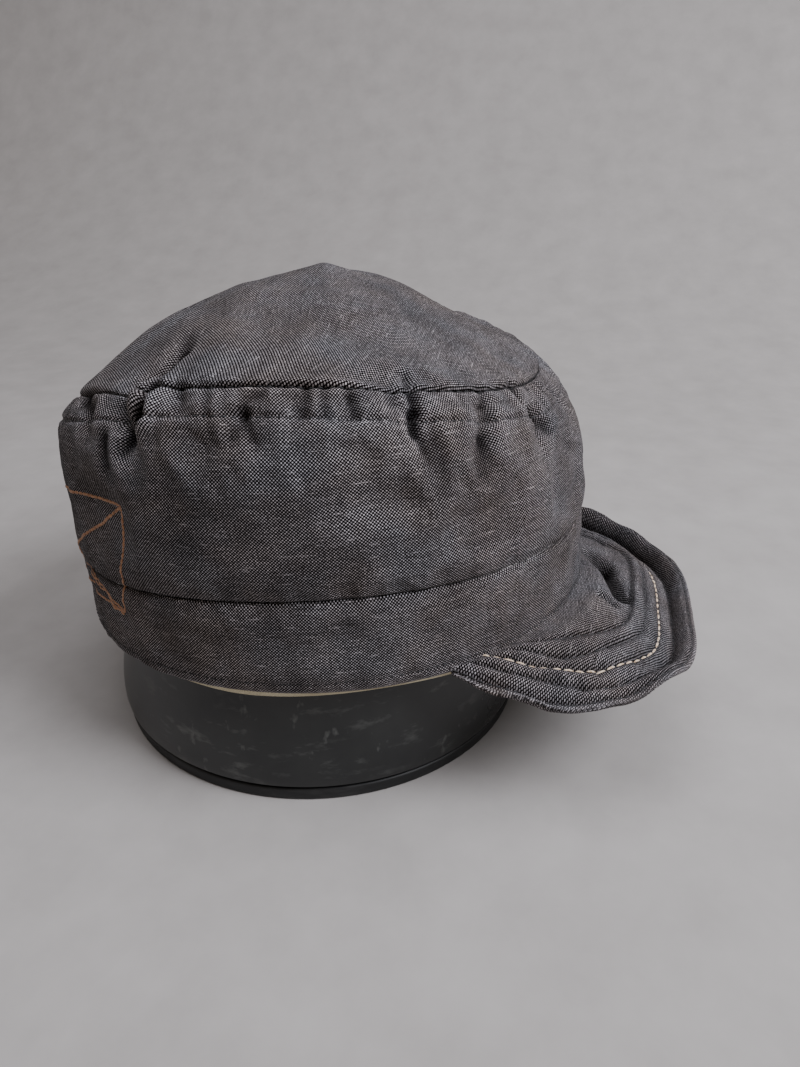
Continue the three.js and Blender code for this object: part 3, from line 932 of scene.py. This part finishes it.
def brim_top(turn, out):
    """The brim's upper face in millimetres, and each point's distance from the edge."""
    turn, out = np.broadcast_arrays(np.asarray(turn, float), np.asarray(out, float))
    root_angle = BRIM_ROOT_ANGLE * np.sin(np.radians(turn))
    hem = np.zeros_like(turn)
    root = plain_cloth(root_angle, hem) - outward(root_angle, hem) * BRIM_TUCKED_IN
    root[..., 2] += BRIM_ROOT_LIFT
    edge = brim_edge(turn)
    x = root[..., 0] + (edge[..., 0] - root[..., 0]) * out
    y = root[..., 1] + (edge[..., 1] - root[..., 1]) * out
    ring_z, brink_z = station(turn, "ring_z"), station(turn, "brink_z")
    to_ring = root[..., 2] + (ring_z - root[..., 2]) * smooth(out, 0, BRIM_RING_PLACE)
    fall = np.maximum(out - BRIM_RING_PLACE, 0) / (1 - BRIM_RING_PLACE)
    plain = to_ring + (brink_z - to_ring) * np.sin(fall * np.pi / 2) ** BRIM_FALL_POWER
    distance = distance_to_edge(x, y) / row_share(turn)
    lip = station(turn, "lip") * (1 - smooth(distance, BRIM_LIP_END, BRIM_LIP_START))
    dip = station(turn, "dip") * bell(out - BRIM_DIP_PLACE, BRIM_DIP_WIDTH)
    free = let_free(out)
    z = plain - dip + lip + brim_rib(distance) * free
    for row in BRIM_ROW_DISTANCES:
        z = z - BRIM_GROOVE_DEPTH * bell(distance - row, BRIM_GROOVE_WIDTH) * free
    quilted = 1 - smooth(distance, PUCKER_FADES_FROM, PUCKER_FADES_TO) * PUCKER_FADES_BY
    z = z + PUCKER_HEIGHT * brim_pucker(x, y, distance) * free * quilted
    z = z - brim_creased(x, y) * free
    return np.stack([x, y, z], axis=-1), distance


# Painted shade on the brim, carried in the same attribute as the crown's creases: how strong, how wide, and
# for the fold inside the lip how far from the edge it lies and between which turns on the far side it sets
# in.
ROW_SHADE = 0.8
ROW_SHADE_WIDTH = 1.1
LIP_SHADE = 1.1
LIP_SHADE_PLACE = 7.5
LIP_SHADE_WIDTH = 3.4
LIP_SHADE_FROM = 6
LIP_SHADE_TO = 34
CREASE_SHADE = 0.22


def painted_brim_shade(points, turn, distance):
    """Painted shade: darker in the grooves of the stitch rows, in the fold inside the turned-up lip on the
    far side, and in the creases."""
    rows = sum(ROW_SHADE * bell(distance - row, ROW_SHADE_WIDTH) for row in BRIM_ROW_DISTANCES)
    fold = LIP_SHADE * bell(distance - LIP_SHADE_PLACE, LIP_SHADE_WIDTH)
    fold = fold * smooth(-turn, LIP_SHADE_FROM, LIP_SHADE_TO)
    return rows + fold + CREASE_SHADE * brim_creased(points[..., 0], points[..., 1])


BRIM_EASED = 31


def unrolled(face):
    """Flat places for a brim face: each line out from the band keeps its direction and its length, which
    is evened out with its neighbours'."""
    steps_out = np.linalg.norm(np.diff(face, axis=1), axis=-1)
    beside = np.pad(steps_out, ((BRIM_EASED // 2, BRIM_EASED // 2), (0, 0)), mode="edge")
    shares = np.full(BRIM_EASED, 1 / BRIM_EASED)
    steps_out = np.stack([np.convolve(column, shares, "valid") for column in beside.T], axis=1)
    length = np.concatenate([np.zeros((len(face), 1)), np.cumsum(steps_out, axis=1)], axis=1)
    direction = face[:, -1:, :2] - face[:, :1, :2]
    direction = direction / np.linalg.norm(direction, axis=-1, keepdims=True)
    return (face[:, :1, :2] + direction * length[..., None]).reshape(-1, 2)


BRIM_COLUMNS = 330
BRIM_ROWS = 74
BRIM_ROWS_CROWD = 1.45
BRIM_EDGE_ROUND = 1.5
BRIM_END_THINNESS = 0.3
BRIM_END_TAPER = 14
BRIM_LOWER_RIB = 0.5
BRIM_WEAR = 0.6
BRIM_WEAR_PLACE = 0.6
BRIM_WEAR_BELOW = 0.5


def brim_faces(columns, rows):
    """The faces of two grids of points, the upper one first, and of the walls that join their rims."""
    count = columns * rows
    faces = []
    for i in range(columns - 1):
        for j in range(rows - 1):
            a, b = i * rows + j, i * rows + j + 1
            c, d = b + rows, a + rows
            faces.append((a, b, c, d))
            faces.append((count + a, count + d, count + c, count + b))
        root, following = i * rows, (i + 1) * rows
        edge, next_edge = root + rows - 1, following + rows - 1
        faces.append((root, following, count + following, count + root))
        faces.append((next_edge, edge, count + edge, count + next_edge))
    last = (columns - 1) * rows
    for j in range(rows - 1):
        faces.append((j + 1, j, count + j, count + j + 1))
        faces.append((last + j, last + j + 1, count + last + j + 1, count + last + j))
    return faces


def make_brim():
    """The padded brim: an upper and a lower face that meet in a rounded edge."""
    share = np.linspace(0, 1, BRIM_ROWS)
    places = 1 - (1 - share) ** BRIM_ROWS_CROWD
    turn, out = np.meshgrid(even_turns(BRIM_COLUMNS), places, indexing="ij")
    upper, distance = brim_top(turn, out)
    inset = np.clip(distance / BRIM_EDGE_ROUND, 0, 1)
    taper = smooth(BRIM_END_TURN - np.abs(turn), 0, BRIM_END_TAPER)
    ends = BRIM_END_THINNESS + (1 - BRIM_END_THINNESS) * taper
    half = BRIM_THICKNESS / 2 * np.sqrt(1 - (1 - inset) ** 2) * ends
    middle = upper - np.array([0, 0, BRIM_THICKNESS / 2])
    top, bottom = middle.copy(), middle.copy()
    top[..., 2] += half
    bottom[..., 2] -= half
    bottom[..., 2] += BRIM_LOWER_RIB * brim_rib(distance) * let_free(out)
    faces = brim_faces(BRIM_COLUMNS, BRIM_ROWS)
    points = np.vstack([top.reshape(-1, 3), bottom.reshape(-1, 3)])
    obj = bare_mesh("short_brim", points, faces)
    corners = np.concatenate([np.asarray(face) for face in faces])
    set_uv(obj, np.vstack([unrolled(top), unrolled(bottom)])[corners] * MM)
    worn = BRIM_WEAR * bell(distance - BRIM_WEAR_PLACE, 1.0).ravel()
    set_attribute(obj, "wear", np.concatenate([worn, worn * BRIM_WEAR_BELOW]))
    # Painted shade in the brim's stitch grooves, lip fold and creases, on its upper face only.
    shades = painted_brim_shade(upper, turn, distance).ravel()
    set_attribute(obj, "crease", np.concatenate([shades, np.zeros_like(shades)]))
    pick(obj)
    bpy.ops.object.mode_set(mode="EDIT")
    bpy.ops.mesh.select_all(action="SELECT")
    bpy.ops.mesh.remove_doubles(threshold=0.02 * MM)
    bpy.ops.mesh.normals_make_consistent(inside=False)
    bpy.ops.object.mode_set(mode="OBJECT")
    shade_smooth(obj)
    return obj


# Stitching

STITCH_LENGTH = 2.4
STITCH_WIDTH = 0.55
STITCH_HEIGHT = 0.5
STITCH_PITCH = 3.0
STITCH_BOW = 0.55
CONTRAST_STITCH = {"pitch": 4.1, "length": 3.5, "width": 0.9, "sink": -0.3}
BOX_STITCH = {"pitch": 2.3, "length": 3.1, "width": 1.15}
# How stitches differ, as drawn for each: their slant, their sizes, and how far they stand off the cloth.
STITCH_SLANT = 0.07
STITCH_SIZES = (0.86, 1.1)
STITCH_LIFT = 0.1
STITCH_UNEVEN = 0.08
# A stitch points the way that its line runs over this far on both sides of it.
STITCH_AIM = 0.6


def model_stitch():
    """One stitch lying along X, as the points and faces of a small stretched ball."""
    deselect()
    bpy.ops.mesh.primitive_uv_sphere_add(segments=8, ring_count=6, radius=0.5)
    stitch = bpy.context.object
    bpy.ops.object.mode_set(mode="EDIT")
    bpy.ops.transform.rotate(value=math.pi / 2, orient_axis="Y", center_override=(0, 0, 0))
    bpy.ops.object.mode_set(mode="OBJECT")
    points = np.array([vertex.co[:] for vertex in stitch.data.vertices])
    faces = [tuple(face.vertices) for face in stitch.data.polygons]
    mesh = stitch.data
    bpy.data.objects.remove(stitch)
    bpy.data.meshes.remove(mesh)
    # A thread bows: it is highest in the middle and dives into the cloth at its ends.
    points[:, 2] -= STITCH_BOW * (2 * points[:, 0]) ** 2
    return points, faces


def stitch_row(name, line, normals, thread, seed, pitch=STITCH_PITCH, length=STITCH_LENGTH,
               width=STITCH_WIDTH, sink=0.0):
    """Copies of one stitch along a line of points in millimetres, joined as one piece."""
    points, faces = STITCH
    draw = np.random.default_rng(seed)
    arc = np.concatenate([[0], np.cumsum(np.linalg.norm(np.diff(line, axis=0), axis=1))])
    count = max(1, int(arc[-1] / pitch))
    centres = (np.arange(count) + 0.5) * arc[-1] / count
    ahead = np.stack([np.interp(centres + STITCH_AIM, arc, line[:, k]) for k in range(3)], axis=1)
    behind = np.stack([np.interp(centres - STITCH_AIM, arc, line[:, k]) for k in range(3)], axis=1)
    normal = np.stack([np.interp(centres, arc, normals[:, k]) for k in range(3)], axis=1)
    along = ahead - behind
    along /= np.linalg.norm(along, axis=1, keepdims=True)
    normal -= along * (normal * along).sum(axis=1, keepdims=True)
    normal /= np.linalg.norm(normal, axis=1, keepdims=True)
    side = np.cross(normal, along)
    slant = draw.normal(0, STITCH_SLANT, count)[:, None]
    along, side = along + side * slant, side - along * slant
    sizes = draw.uniform(*STITCH_SIZES, (count, 1))
    lift = STITCH_LIFT - sink + draw.uniform(-STITCH_UNEVEN, STITCH_UNEVEN, (count, 1))
    middle = (ahead + behind) / 2 + normal * lift
    stitch = points * np.array([length, width, STITCH_HEIGHT])
    copies = (
        middle[:, None]
        + along[:, None] * (stitch[None, :, :1] * sizes[:, None])
        + side[:, None] * stitch[None, :, 1:2]
        + normal[:, None] * stitch[None, :, 2:]
    )
    all_faces = []
    for i in range(count):
        shift = i * len(points)
        all_faces += [tuple(v + shift for v in face) for face in faces]
    obj = bare_mesh(name, copies, all_faces)
    shade_smooth(obj)
    dress(obj, thread)


def cloth_line(angles, levels):
    """Points and outward directions along a path on the crown."""
    angles, levels = np.asarray(angles, float), np.asarray(levels, float)
    return cloth(angles, levels).points, outward(angles, levels)


SEAM_POINTS = 1801
GRID_COLUMNS = 420
GRID_ROWS = 90
BOX_LINE_POINTS = 160


def seam_line(name, offset):
    """The path all round the crown at a distance above or below a seam."""
    angles = np.linspace(0, 360, SEAM_POINTS)
    levels = np.full_like(angles, level_beside(name, offset))
    return cloth_line(angles, levels)


def brim_grid():
    """Points of the brim's upper face and their distances from the edge, for laying the rows."""
    turns, places = even_turns(GRID_COLUMNS), np.linspace(0, 1, GRID_ROWS)
    turn, out = np.meshgrid(turns, places, indexing="ij")
    return brim_top(turn, out)


def brim_line(grid, distance):
    """The path across the brim at one distance from its edge, with up as each point's direction."""
    points, away = grid
    line = []
    for column in range(len(points)):
        if away[column, 0] < distance:
            continue
        far = np.argmax(away[column] < distance)
        share = (away[column, far - 1] - distance) / (away[column, far - 1] - away[column, far])
        line.append(points[column, far - 1] + (points[column, far] - points[column, far - 1]) * share)
    return np.array(line), np.tile([0.0, 0.0, 1.0], (len(line), 1))


# The crossed box of topstitching at the back of the wearer's right side, as angle and level of corners.
CROSS_BOX = (
    ((171, 1.86), (145, 2.0), (130, 2.08), (113, 2.06)),
    ((113, 2.06), (115, 1.6), (118, 1.14), (121, 0.65)),
    ((113, 2.06), (117, 1.9), (122, 1.72), (131, 1.5), (144, 1.23), (171, 0.78)),
    ((171, 1.86), (144, 1.16), (134, 0.93), (128, 0.85), (121, 0.65)),
    ((171, 1.78), (144, 1.08), (134, 0.87), (128, 0.79), (121.5, 0.61)),
    ((171, 1.86), (171, 0.78)),
    ((171, 0.78), (146, 0.72), (121, 0.65)),
)
# One level near the band is as long as about this many degrees round the cap.
BOX_LEVEL_DEGREES = 19


def box_lines():
    """The lines of the crossed box, each with its outward directions."""
    lines = []
    for corners in CROSS_BOX:
        corners = np.array(corners, float)
        steps_between = np.linalg.norm(np.diff(corners, axis=0) * (1, BOX_LEVEL_DEGREES), axis=1)
        place_of = np.concatenate([[0], np.cumsum(steps_between)])
        share = np.linspace(0, place_of[-1], BOX_LINE_POINTS)
        angles = np.interp(share, place_of, corners[:, 0])
        levels = np.interp(share, place_of, corners[:, 1])
        lines.append(cloth_line(angles, levels))
    return lines


# Materials


def linear(code):
    """An sRGB hex colour as linear RGBA."""
    parts = [int(code[i : i + 2], 16) / 255 for i in (1, 3, 5)]
    return [c / 12.92 if c <= 0.04045 else ((c + 0.055) / 1.055) ** 2.4 for c in parts] + [1.0]


def add(tree, kind, inputs=None, stops=(), **settings):
    """Adds a node with its settings, its inputs and the stops of a colour ramp. An input is a value, a
    socket or a node, which gives its first output. A stop's colour is a hex value or a grey."""
    node = tree.nodes.new("ShaderNode" + kind)
    for key, value in settings.items():
        setattr(node, key, value)
    for key, value in (inputs or {}).items():
        if isinstance(value, bpy.types.Node):
            value = value.outputs[0]
        if isinstance(value, bpy.types.NodeSocket):
            tree.links.new(value, node.inputs[key])
        else:
            node.inputs[key].default_value = value
    for number, (place, colour) in enumerate(stops):
        elements = node.color_ramp.elements
        element = elements[number] if number < 2 else elements.new(place)
        element.position = place
        element.color = linear(colour) if isinstance(colour, str) else [colour] * 3 + [1.0]
    return node


def mottle(tree, vector, *sizes, detail=2.0, roughness=0.5):
    """A noise whose features are about this large along each axis, in millimetres. A flat pattern, on
    UVs, has two sizes."""
    repeats = [1 / (size * MM) for size in sizes] + [1.0] * (3 - len(sizes))
    stretched = add(tree, "Mapping", {"Vector": vector, "Scale": repeats})
    inputs = {"Vector": stretched, "Scale": 1.0, "Detail": detail, "Roughness": roughness}
    return add(tree, "TexNoise", inputs)


def new_material(name):
    """A material whose node tree is empty."""
    material = bpy.data.materials.new(name)
    material.use_nodes = True
    material.node_tree.nodes.clear()
    return material, material.node_tree


def shade(tree, inputs):
    """The shader that ends a material, with the inputs that differ from its defaults."""
    shader = add(tree, "BsdfPrincipled", inputs)
    add(tree, "OutputMaterial", {"Surface": shader})


# The threads lie 0.4 mm apart. They are drawn a little coarser, so that the weave shows in the render.
THREAD = 0.52
# The widths and lengths of streaks, flecks and slubs, and the size and depth of the threads' wandering.
THREAD_WIDE = 0.3846
STREAK_LONG = 11.1
FLECK = 0.6667
SLUB_LONG = 5.88
UPRIGHT_SLUB_LONG = 5
WANDER_SIZE = 45.45
WANDER_BY = 1.6


def make_chambray():
    """Chambray, a plain weave of near-black warp and pale weft in cotton. The eye sees pale dots in
    alternating rows, short bright slubs, and slow drifts of warm brown and blue from the dyeing."""
    material, tree = new_material("woven_cotton_chambray")
    uv = add(tree, "UVMap", uv_map="cloth")
    # No thread runs quite straight.
    wander = mottle(tree, uv, WANDER_SIZE, WANDER_SIZE, detail=1.0).outputs["Color"]
    wander = add(tree, "VectorMath", {0: wander, 1: (0.5, 0.5, 0.5)}, operation="SUBTRACT")
    wander = add(tree, "VectorMath", {0: wander, "Scale": WANDER_BY * MM}, operation="SCALE")
    woven = add(tree, "VectorMath", {0: uv, 1: wander}, operation="ADD")
    parts = add(tree, "SeparateXYZ", {0: woven})
    waves = []
    for axis in "XY":
        turns = {0: parts.outputs[axis], 1: math.pi / (THREAD * MM)}
        turns = add(tree, "Math", turns, operation="MULTIPLY")
        waves.append(add(tree, "Math", {0: turns}, operation="SINE"))
    cross = add(tree, "Math", {0: waves[0], 1: waves[1]}, operation="MULTIPLY")
    dots = add(
        tree, "MapRange", {"Value": cross, "From Min": 0.05, "From Max": 0.5},
        interpolation_type="SMOOTHSTEP",
    )
    # Yarns differ along their length: streaks one thread wide and a centimetre or two long.
    weft = mottle(tree, woven, STREAK_LONG, THREAD_WIDE)
    warp = mottle(tree, woven, THREAD_WIDE, STREAK_LONG)
    flecks = mottle(tree, woven, FLECK, FLECK, detail=1.0)
    share = dots
    for pattern, thin in ((weft, 0.5), (warp, 0.7), (flecks, 0.3)):
        streaks = add(tree, "ValToRGB", {"Fac": pattern}, ((0.3, thin), (0.7, 1.0)))
        share = add(tree, "Math", {0: share, 1: streaks}, operation="MULTIPLY")
    slubs = mottle(tree, woven, SLUB_LONG, FLECK, detail=1.0)
    slubs = add(tree, "ValToRGB", {"Fac": slubs}, ((0.66, 0.0), (0.76, 1.0)))
    uprights = mottle(tree, woven, FLECK, UPRIGHT_SLUB_LONG, detail=1.0)
    uprights = add(tree, "ValToRGB", {"Fac": uprights}, ((0.7, 0.0), (0.8, 0.7)))
    wear = add(tree, "Attribute", attribute_name="wear").outputs["Fac"]
    for pattern, strength in ((slubs, 0.22), (uprights, 0.14), (wear, 0.1)):
        paler = {0: pattern, 1: strength, 2: share}
        share = add(tree, "Math", paler, operation="MULTIPLY_ADD", use_clamp=True)
    # Washing leaves the dye uneven, in patches of one to four centimetres.
    patches = mottle(tree, woven, 29.4, 19.2, detail=3.0, roughness=0.6)
    patches = add(tree, "ValToRGB", {"Fac": patches}, ((0.36, 0.72), (0.62, 1.12)))
    share = add(tree, "Math", {0: share, 1: patches}, operation="MULTIPLY")
    # Painted light and shade from the fold depths: the ridges of the gathers and pleats are painted paler,
    # and the folds, creases and pleats are painted darker down in them.
    crease = add(tree, "Attribute", attribute_name="crease").outputs["Fac"]
    painted_fold_shade = {"Value": crease, "From Min": -0.5, "From Max": 1.4, "To Min": 1.5, "To Max": 0.17}
    painted_fold_shade = add(tree, "MapRange", painted_fold_shade)
    share = add(tree, "Math", {0: share, 1: painted_fold_shade}, operation="MULTIPLY", use_clamp=True)
    # The dye drifts between warm brown and blue over two or three centimetres.
    spot = add(tree, "TexCoord").outputs["Object"]
    drift = mottle(tree, spot, 23.8, 23.8, 23.8, detail=3.0, roughness=0.6)
    dark = add(tree, "ValToRGB", {"Fac": drift}, ((0.36, "#090708"), (0.5, "#0a0707"), (0.66, "#0e0807")))
    pale = add(tree, "ValToRGB", {"Fac": drift}, ((0.34, "#d1ced3"), (0.5, "#d3cbcd"), (0.68, "#d1c6c3")))
    colour = add(tree, "Mix", {"Factor": share, "A": dark, "B": pale}, data_type="RGBA")
    # The weft stands up at its dots, and the slubs are thicker than the yarn.
    height = add(tree, "Math", {0: dots, 1: 0.7}, operation="MULTIPLY")
    height = add(tree, "Math", {0: slubs, 1: 0.6, 2: height}, operation="MULTIPLY_ADD")
    shade(tree, {
        "Base Color": colour.outputs["Result"], "Roughness": 0.95, "Specular IOR Level": 0.05,
        "Sheen Weight": 0.02, "Sheen Roughness": 0.4,
        "Normal": add(tree, "Bump", {"Height": height, "Strength": 0.55, "Distance": 0.12 * MM}),
    })
    return material


# The plies of a sewing thread turn about every 0.4 mm. They are drawn coarser, so that they show.
TWIST = 0.769


def make_thread(name, code, darker):
    """Spun polyester sewing thread: a soft gleam, with the shade changing along the twist."""
    material, tree = new_material(name)
    spot = add(tree, "TexCoord").outputs["Object"]
    twist = mottle(tree, spot, TWIST, TWIST, TWIST)
    shade(tree, {
        "Base Color": add(tree, "ValToRGB", {"Fac": twist}, ((0.35, darker), (0.62, code))),
        "Roughness": 0.6, "Sheen Weight": 0.15,
        "Normal": add(tree, "Bump", {"Height": twist, "Strength": 0.4, "Distance": 0.1 * MM}),
    })
    return material


TWILL_RIB = 0.9


def make_tape():
    """Unbleached cotton twill tape: cream, with fine diagonal ribs about a millimetre apart."""
    material, tree = new_material("cotton_twill_tape")
    uv = add(tree, "UVMap", uv_map="cloth")
    parts = add(tree, "SeparateXYZ", {0: uv})
    slant = add(tree, "Math", {0: parts.outputs["X"], 1: parts.outputs["Y"]}, operation="ADD")
    turns = add(tree, "Math", {0: slant, 1: 2 * math.pi / (TWILL_RIB * MM)}, operation="MULTIPLY")
    rib = add(tree, "Math", {0: turns}, operation="SINE")
    soil = mottle(tree, uv, 16.7, 5, detail=3.0)
    shade(tree, {
        "Base Color": add(tree, "ValToRGB", {"Fac": soil}, ((0.3, "#b5a888"), (0.6, "#d6ccae"))),
        "Roughness": 0.9, "Sheen Weight": 0.1,
        "Normal": add(tree, "Bump", {"Height": rib, "Strength": 0.5, "Distance": 0.15 * MM}),
    })
    return material


def make_slate():
    """Moulded ABS in dark slate: a satin skin, dulled by dust, hand smudges and a few pale scuffs."""
    material, tree = new_material("moulded_abs_slate")
    spot = add(tree, "TexCoord").outputs["Object"]
    film = mottle(tree, spot, 45.45, 45.45, 45.45, detail=4.0, roughness=0.6)
    film = add(tree, "ValToRGB", {"Fac": film}, ((0.35, 0.05), (0.7, 0.45)))
    smears = mottle(tree, spot, 16.67, 16.67, 5.882, detail=4.0, roughness=0.65)
    smears = add(tree, "ValToRGB", {"Fac": smears}, ((0.56, 0.0), (0.72, 0.55)))
    scuffs = mottle(tree, spot, 6.667, 6.667, 10.53, detail=3.0, roughness=0.6)
    scuffs = add(tree, "ValToRGB", {"Fac": scuffs}, ((0.66, 0.0), (0.74, 0.8)))
    marks = add(tree, "Math", {0: smears, 1: film}, operation="MULTIPLY")
    for pattern, strength in ((scuffs, 0.2), (film, 0.12)):
        paler = {0: pattern, 1: strength, 2: marks}
        marks = add(tree, "Math", paler, operation="MULTIPLY_ADD", use_clamp=True)
    tones = {"Factor": marks, "A": linear("#0f1112"), "B": linear("#9a9d98")}
    # The skin's own grain is finer than this. It is drawn as coarse as it needs to show.
    grain = mottle(tree, spot, 1.111, 1.111, 1.111)
    shade(tree, {
        "Base Color": add(tree, "Mix", tones, data_type="RGBA").outputs["Result"], "IOR": 1.5,
        "Roughness": add(tree, "MapRange", {"Value": marks, "To Min": 0.27, "To Max": 0.7}),
        "Normal": add(tree, "Bump", {"Height": grain, "Strength": 0.12, "Distance": 0.1 * MM}),
    })
    return material


def make_black():
    """Moulded rubber, near black: dull, with grey dust caught along it."""
    material, tree = new_material("moulded_rubber_black")
    spot = add(tree, "TexCoord").outputs["Object"]
    dust = mottle(tree, spot, 12.5, 12.5, 3.333, detail=4.0, roughness=0.6)
    shade(tree, {
        "Base Color": add(tree, "ValToRGB", {"Fac": dust}, ((0.45, "#0f1011"), (0.75, "#2b2b2b"))),
        "Roughness": 0.55, "IOR": 1.5,
        "Normal": add(tree, "Bump", {"Height": dust, "Strength": 0.15, "Distance": 0.2 * MM}),
    })
    return material


def make_floor_finish():
    """Matt painted board: pale grey, with a faint mottle."""
    material, tree = new_material("matt_painted_board")
    spot = add(tree, "TexCoord").outputs["Object"]
    paint = mottle(tree, spot, 33.333, 33.333, 33.333, detail=4.0, roughness=0.6)
    paint = add(tree, "ValToRGB", {"Fac": paint}, ((0.3, "#a39f9c"), (0.7, "#aeaaa7")))
    shade(tree, {"Base Color": paint, "Roughness": 0.95})
    return material


# The stand


STAND_SIDES = 96


def make_stand_form():
    """The block: a disc whose top face is drawn up and in, row by row, to a dome."""
    deselect()
    radius, foot = STAND_PROFILE[0]
    bpy.ops.mesh.primitive_circle_add(
        vertices=STAND_SIDES, radius=radius * MM, fill_type="NGON", location=(0, 0, foot * MM)
    )
    obj = bpy.context.object
    obj.name = "domed_block"
    bpy.ops.object.transform_apply(location=True, rotation=False, scale=False)
    bpy.ops.object.mode_set(mode="EDIT")
    bpy.ops.mesh.select_all(action="SELECT")
    for (below, low), (radius, height) in zip(STAND_PROFILE, STAND_PROFILE[1:]):
        rise = (0, 0, (height - low) * MM)
        bpy.ops.mesh.extrude_region_move(TRANSFORM_OT_translate={"value": rise})
        drawn_in = (radius / below, radius / below, 1)
        bpy.ops.transform.resize(value=drawn_in, center_override=(0, 0, height * MM))
    bpy.ops.mesh.select_all(action="SELECT")
    bpy.ops.mesh.normals_make_consistent(inside=False)
    bpy.ops.object.mode_set(mode="OBJECT")
    apply_modifier(obj, "round", "SUBSURF", levels=1, render_levels=1)
    shade_smooth(obj)
    pick(obj)
    bpy.ops.object.shade_smooth_by_angle(angle=math.radians(50))
    return obj


def make_stand_base():
    """The thin black disc, with its rims rounded."""
    deselect()
    bpy.ops.mesh.primitive_cylinder_add(
        vertices=STAND_SIDES, radius=STAND_BASE_RADIUS * MM, depth=STAND_BASE_HEIGHT * MM,
        location=(0, 0, STAND_BASE_HEIGHT / 2 * MM),
    )
    obj = bpy.context.object
    obj.name = "base_disc"
    bpy.ops.object.transform_apply(location=True, rotation=False, scale=False)
    apply_modifier(obj, "rim", "BEVEL", width=0.9 * MM, segments=4, limit_method="ANGLE", angle_limit=0.6)
    pick(obj)
    bpy.ops.object.shade_smooth_by_angle(angle=math.radians(40))
    return obj


# The stage


FLOOR_SIZE = 4
SWEEP_START = 0.42
SWEEP_RADIUS = 0.7
SWEEP_STEPS = 24
WALL_HEIGHT = 2.5


def make_stage(finish):
    """A pale floor that sweeps up behind the cap without a corner."""
    deselect()
    bpy.ops.mesh.primitive_plane_add(size=FLOOR_SIZE, location=(SWEEP_START - FLOOR_SIZE / 2, 0, 0))
    floor = bpy.context.object
    floor.name = "floor"
    bpy.ops.object.transform_apply(location=True, rotation=False, scale=False)
    bpy.ops.object.mode_set(mode="EDIT")
    bpy.ops.mesh.select_all(action="DESELECT")
    bpy.ops.object.mode_set(mode="OBJECT")
    for edge in floor.data.edges:
        ends = [floor.data.vertices[v].co.x for v in edge.vertices]
        edge.select = min(ends) > SWEEP_START - 0.01
    bpy.ops.object.mode_set(mode="EDIT")
    bpy.ops.mesh.select_mode(type="EDGE")
    centre = (SWEEP_START, 0, SWEEP_RADIUS)
    bpy.ops.mesh.spin(steps=SWEEP_STEPS, angle=math.pi / 2, center=centre, axis=(0, 1, 0))
    bpy.ops.mesh.extrude_region_move(TRANSFORM_OT_translate={"value": (0, 0, WALL_HEIGHT)})
    bpy.ops.mesh.select_all(action="SELECT")
    bpy.ops.mesh.normals_make_consistent(inside=False)
    bpy.ops.object.mode_set(mode="OBJECT")
    shade_smooth(floor)
    floor.data.materials.append(finish)


# Disc lights, with their sizes in metres and their powers in watts. Both aim at the cap's middle.
Light = namedtuple("Light", "name place size power tint")
LIGHTS = (
    Light("key", (-0.25, -1.1, 1.15), 0.9, 30.5, "#f5f7ff"),
    Light("overhead", (-0.1, 0.0, 1.6), 1.2, 12, "#f2f5ff"),
)
LIGHTS_AIM_AT = (0, 0, 0.1)
FILL_TINT = "#f5e8dc"
FILL_STRENGTH = 0.25


def make_lights():
    """Soft daylight from above and the brim's side, over an even fill."""
    for light in LIGHTS:
        data = bpy.data.lights.new(light.name, "AREA")
        data.shape = "DISK"
        data.size = light.size
        data.energy = light.power
        data.color = linear(light.tint)[:3]
        lamp = bpy.data.objects.new(light.name, data)
        lamp.location = light.place
        aim = Vector(LIGHTS_AIM_AT) - Vector(light.place)
        lamp.rotation_euler = aim.to_track_quat("-Z", "Y").to_euler()
        bpy.context.scene.collection.objects.link(lamp)
    world = bpy.data.worlds.new("studio")
    world.use_nodes = True
    background = world.node_tree.nodes["Background"]
    background.inputs["Color"].default_value = linear(FILL_TINT)
    background.inputs["Strength"].default_value = FILL_STRENGTH
    bpy.context.scene.world = world


def make_camera():
    data = bpy.data.cameras.new("camera")
    data.lens = CAMERA_LENS
    data.sensor_width = CAMERA_SENSOR
    data.clip_start = 0.01
    camera = bpy.data.objects.new("camera", data)
    camera.location = CAMERA_PLACE
    camera.rotation_euler = (math.radians(CAMERA_PITCH), 0, math.radians(CAMERA_TURN))
    bpy.context.scene.collection.objects.link(camera)
    bpy.context.scene.camera = camera


# The cap on its stand

make_camera()
make_lights()
make_stage(make_floor_finish())

crumple_field = make_crumple_field(*simulate_crumple())

chambray = make_chambray()
dark_thread = make_thread("polyester_thread_black", "#17151a", "#0b0a0c")
tan_thread = make_thread("polyester_thread_tan", "#eedcc6", "#b89878")
rust_thread = make_thread("polyester_thread_rust", "#b07f57", "#7d4f30")

side = dress(make_crown_side(), chambray, "crown_side")
top = dress(make_crown_top(), chambray, "crown_top")
band = dress(make_band(), chambray, "band")
brim = dress(make_brim(), chambray, "brim")
tape = dress(make_sweatband(), make_tape(), "sweatband")
dress(make_stand_form(), make_slate(), "stand_form")
dress(make_stand_base(), make_black(), "stand_base")

STITCH = model_stitch()
stitch_row("top_seam_stitches", *seam_line("top_seam", 0.2), dark_thread, seed=21, sink=0.25)
stitch_row("top_stitch_row", *seam_line("top_stitch", 0), dark_thread, seed=22)
stitch_row("band_seam_stitches", *seam_line("band_seam", 0.2), dark_thread, seed=23, sink=0.2)
stitch_row("hem_stitches", *seam_line("hem", HEM_STITCH_OFFSET), dark_thread, seed=24)
grid = brim_grid()
for number, distance in enumerate(BRIM_ROW_DISTANCES):
    thread = tan_thread if number == CONTRAST_ROW else dark_thread
    stitch = CONTRAST_STITCH if number == CONTRAST_ROW else {}
    stitch_row(f"brim_row_{number + 1}", *brim_line(grid, distance), thread, seed=30 + number, **stitch)
for number, line in enumerate(box_lines()):
    stitch_row(f"cross_box_{number + 1}", *line, rust_thread, seed=40 + number, **BOX_STITCH)
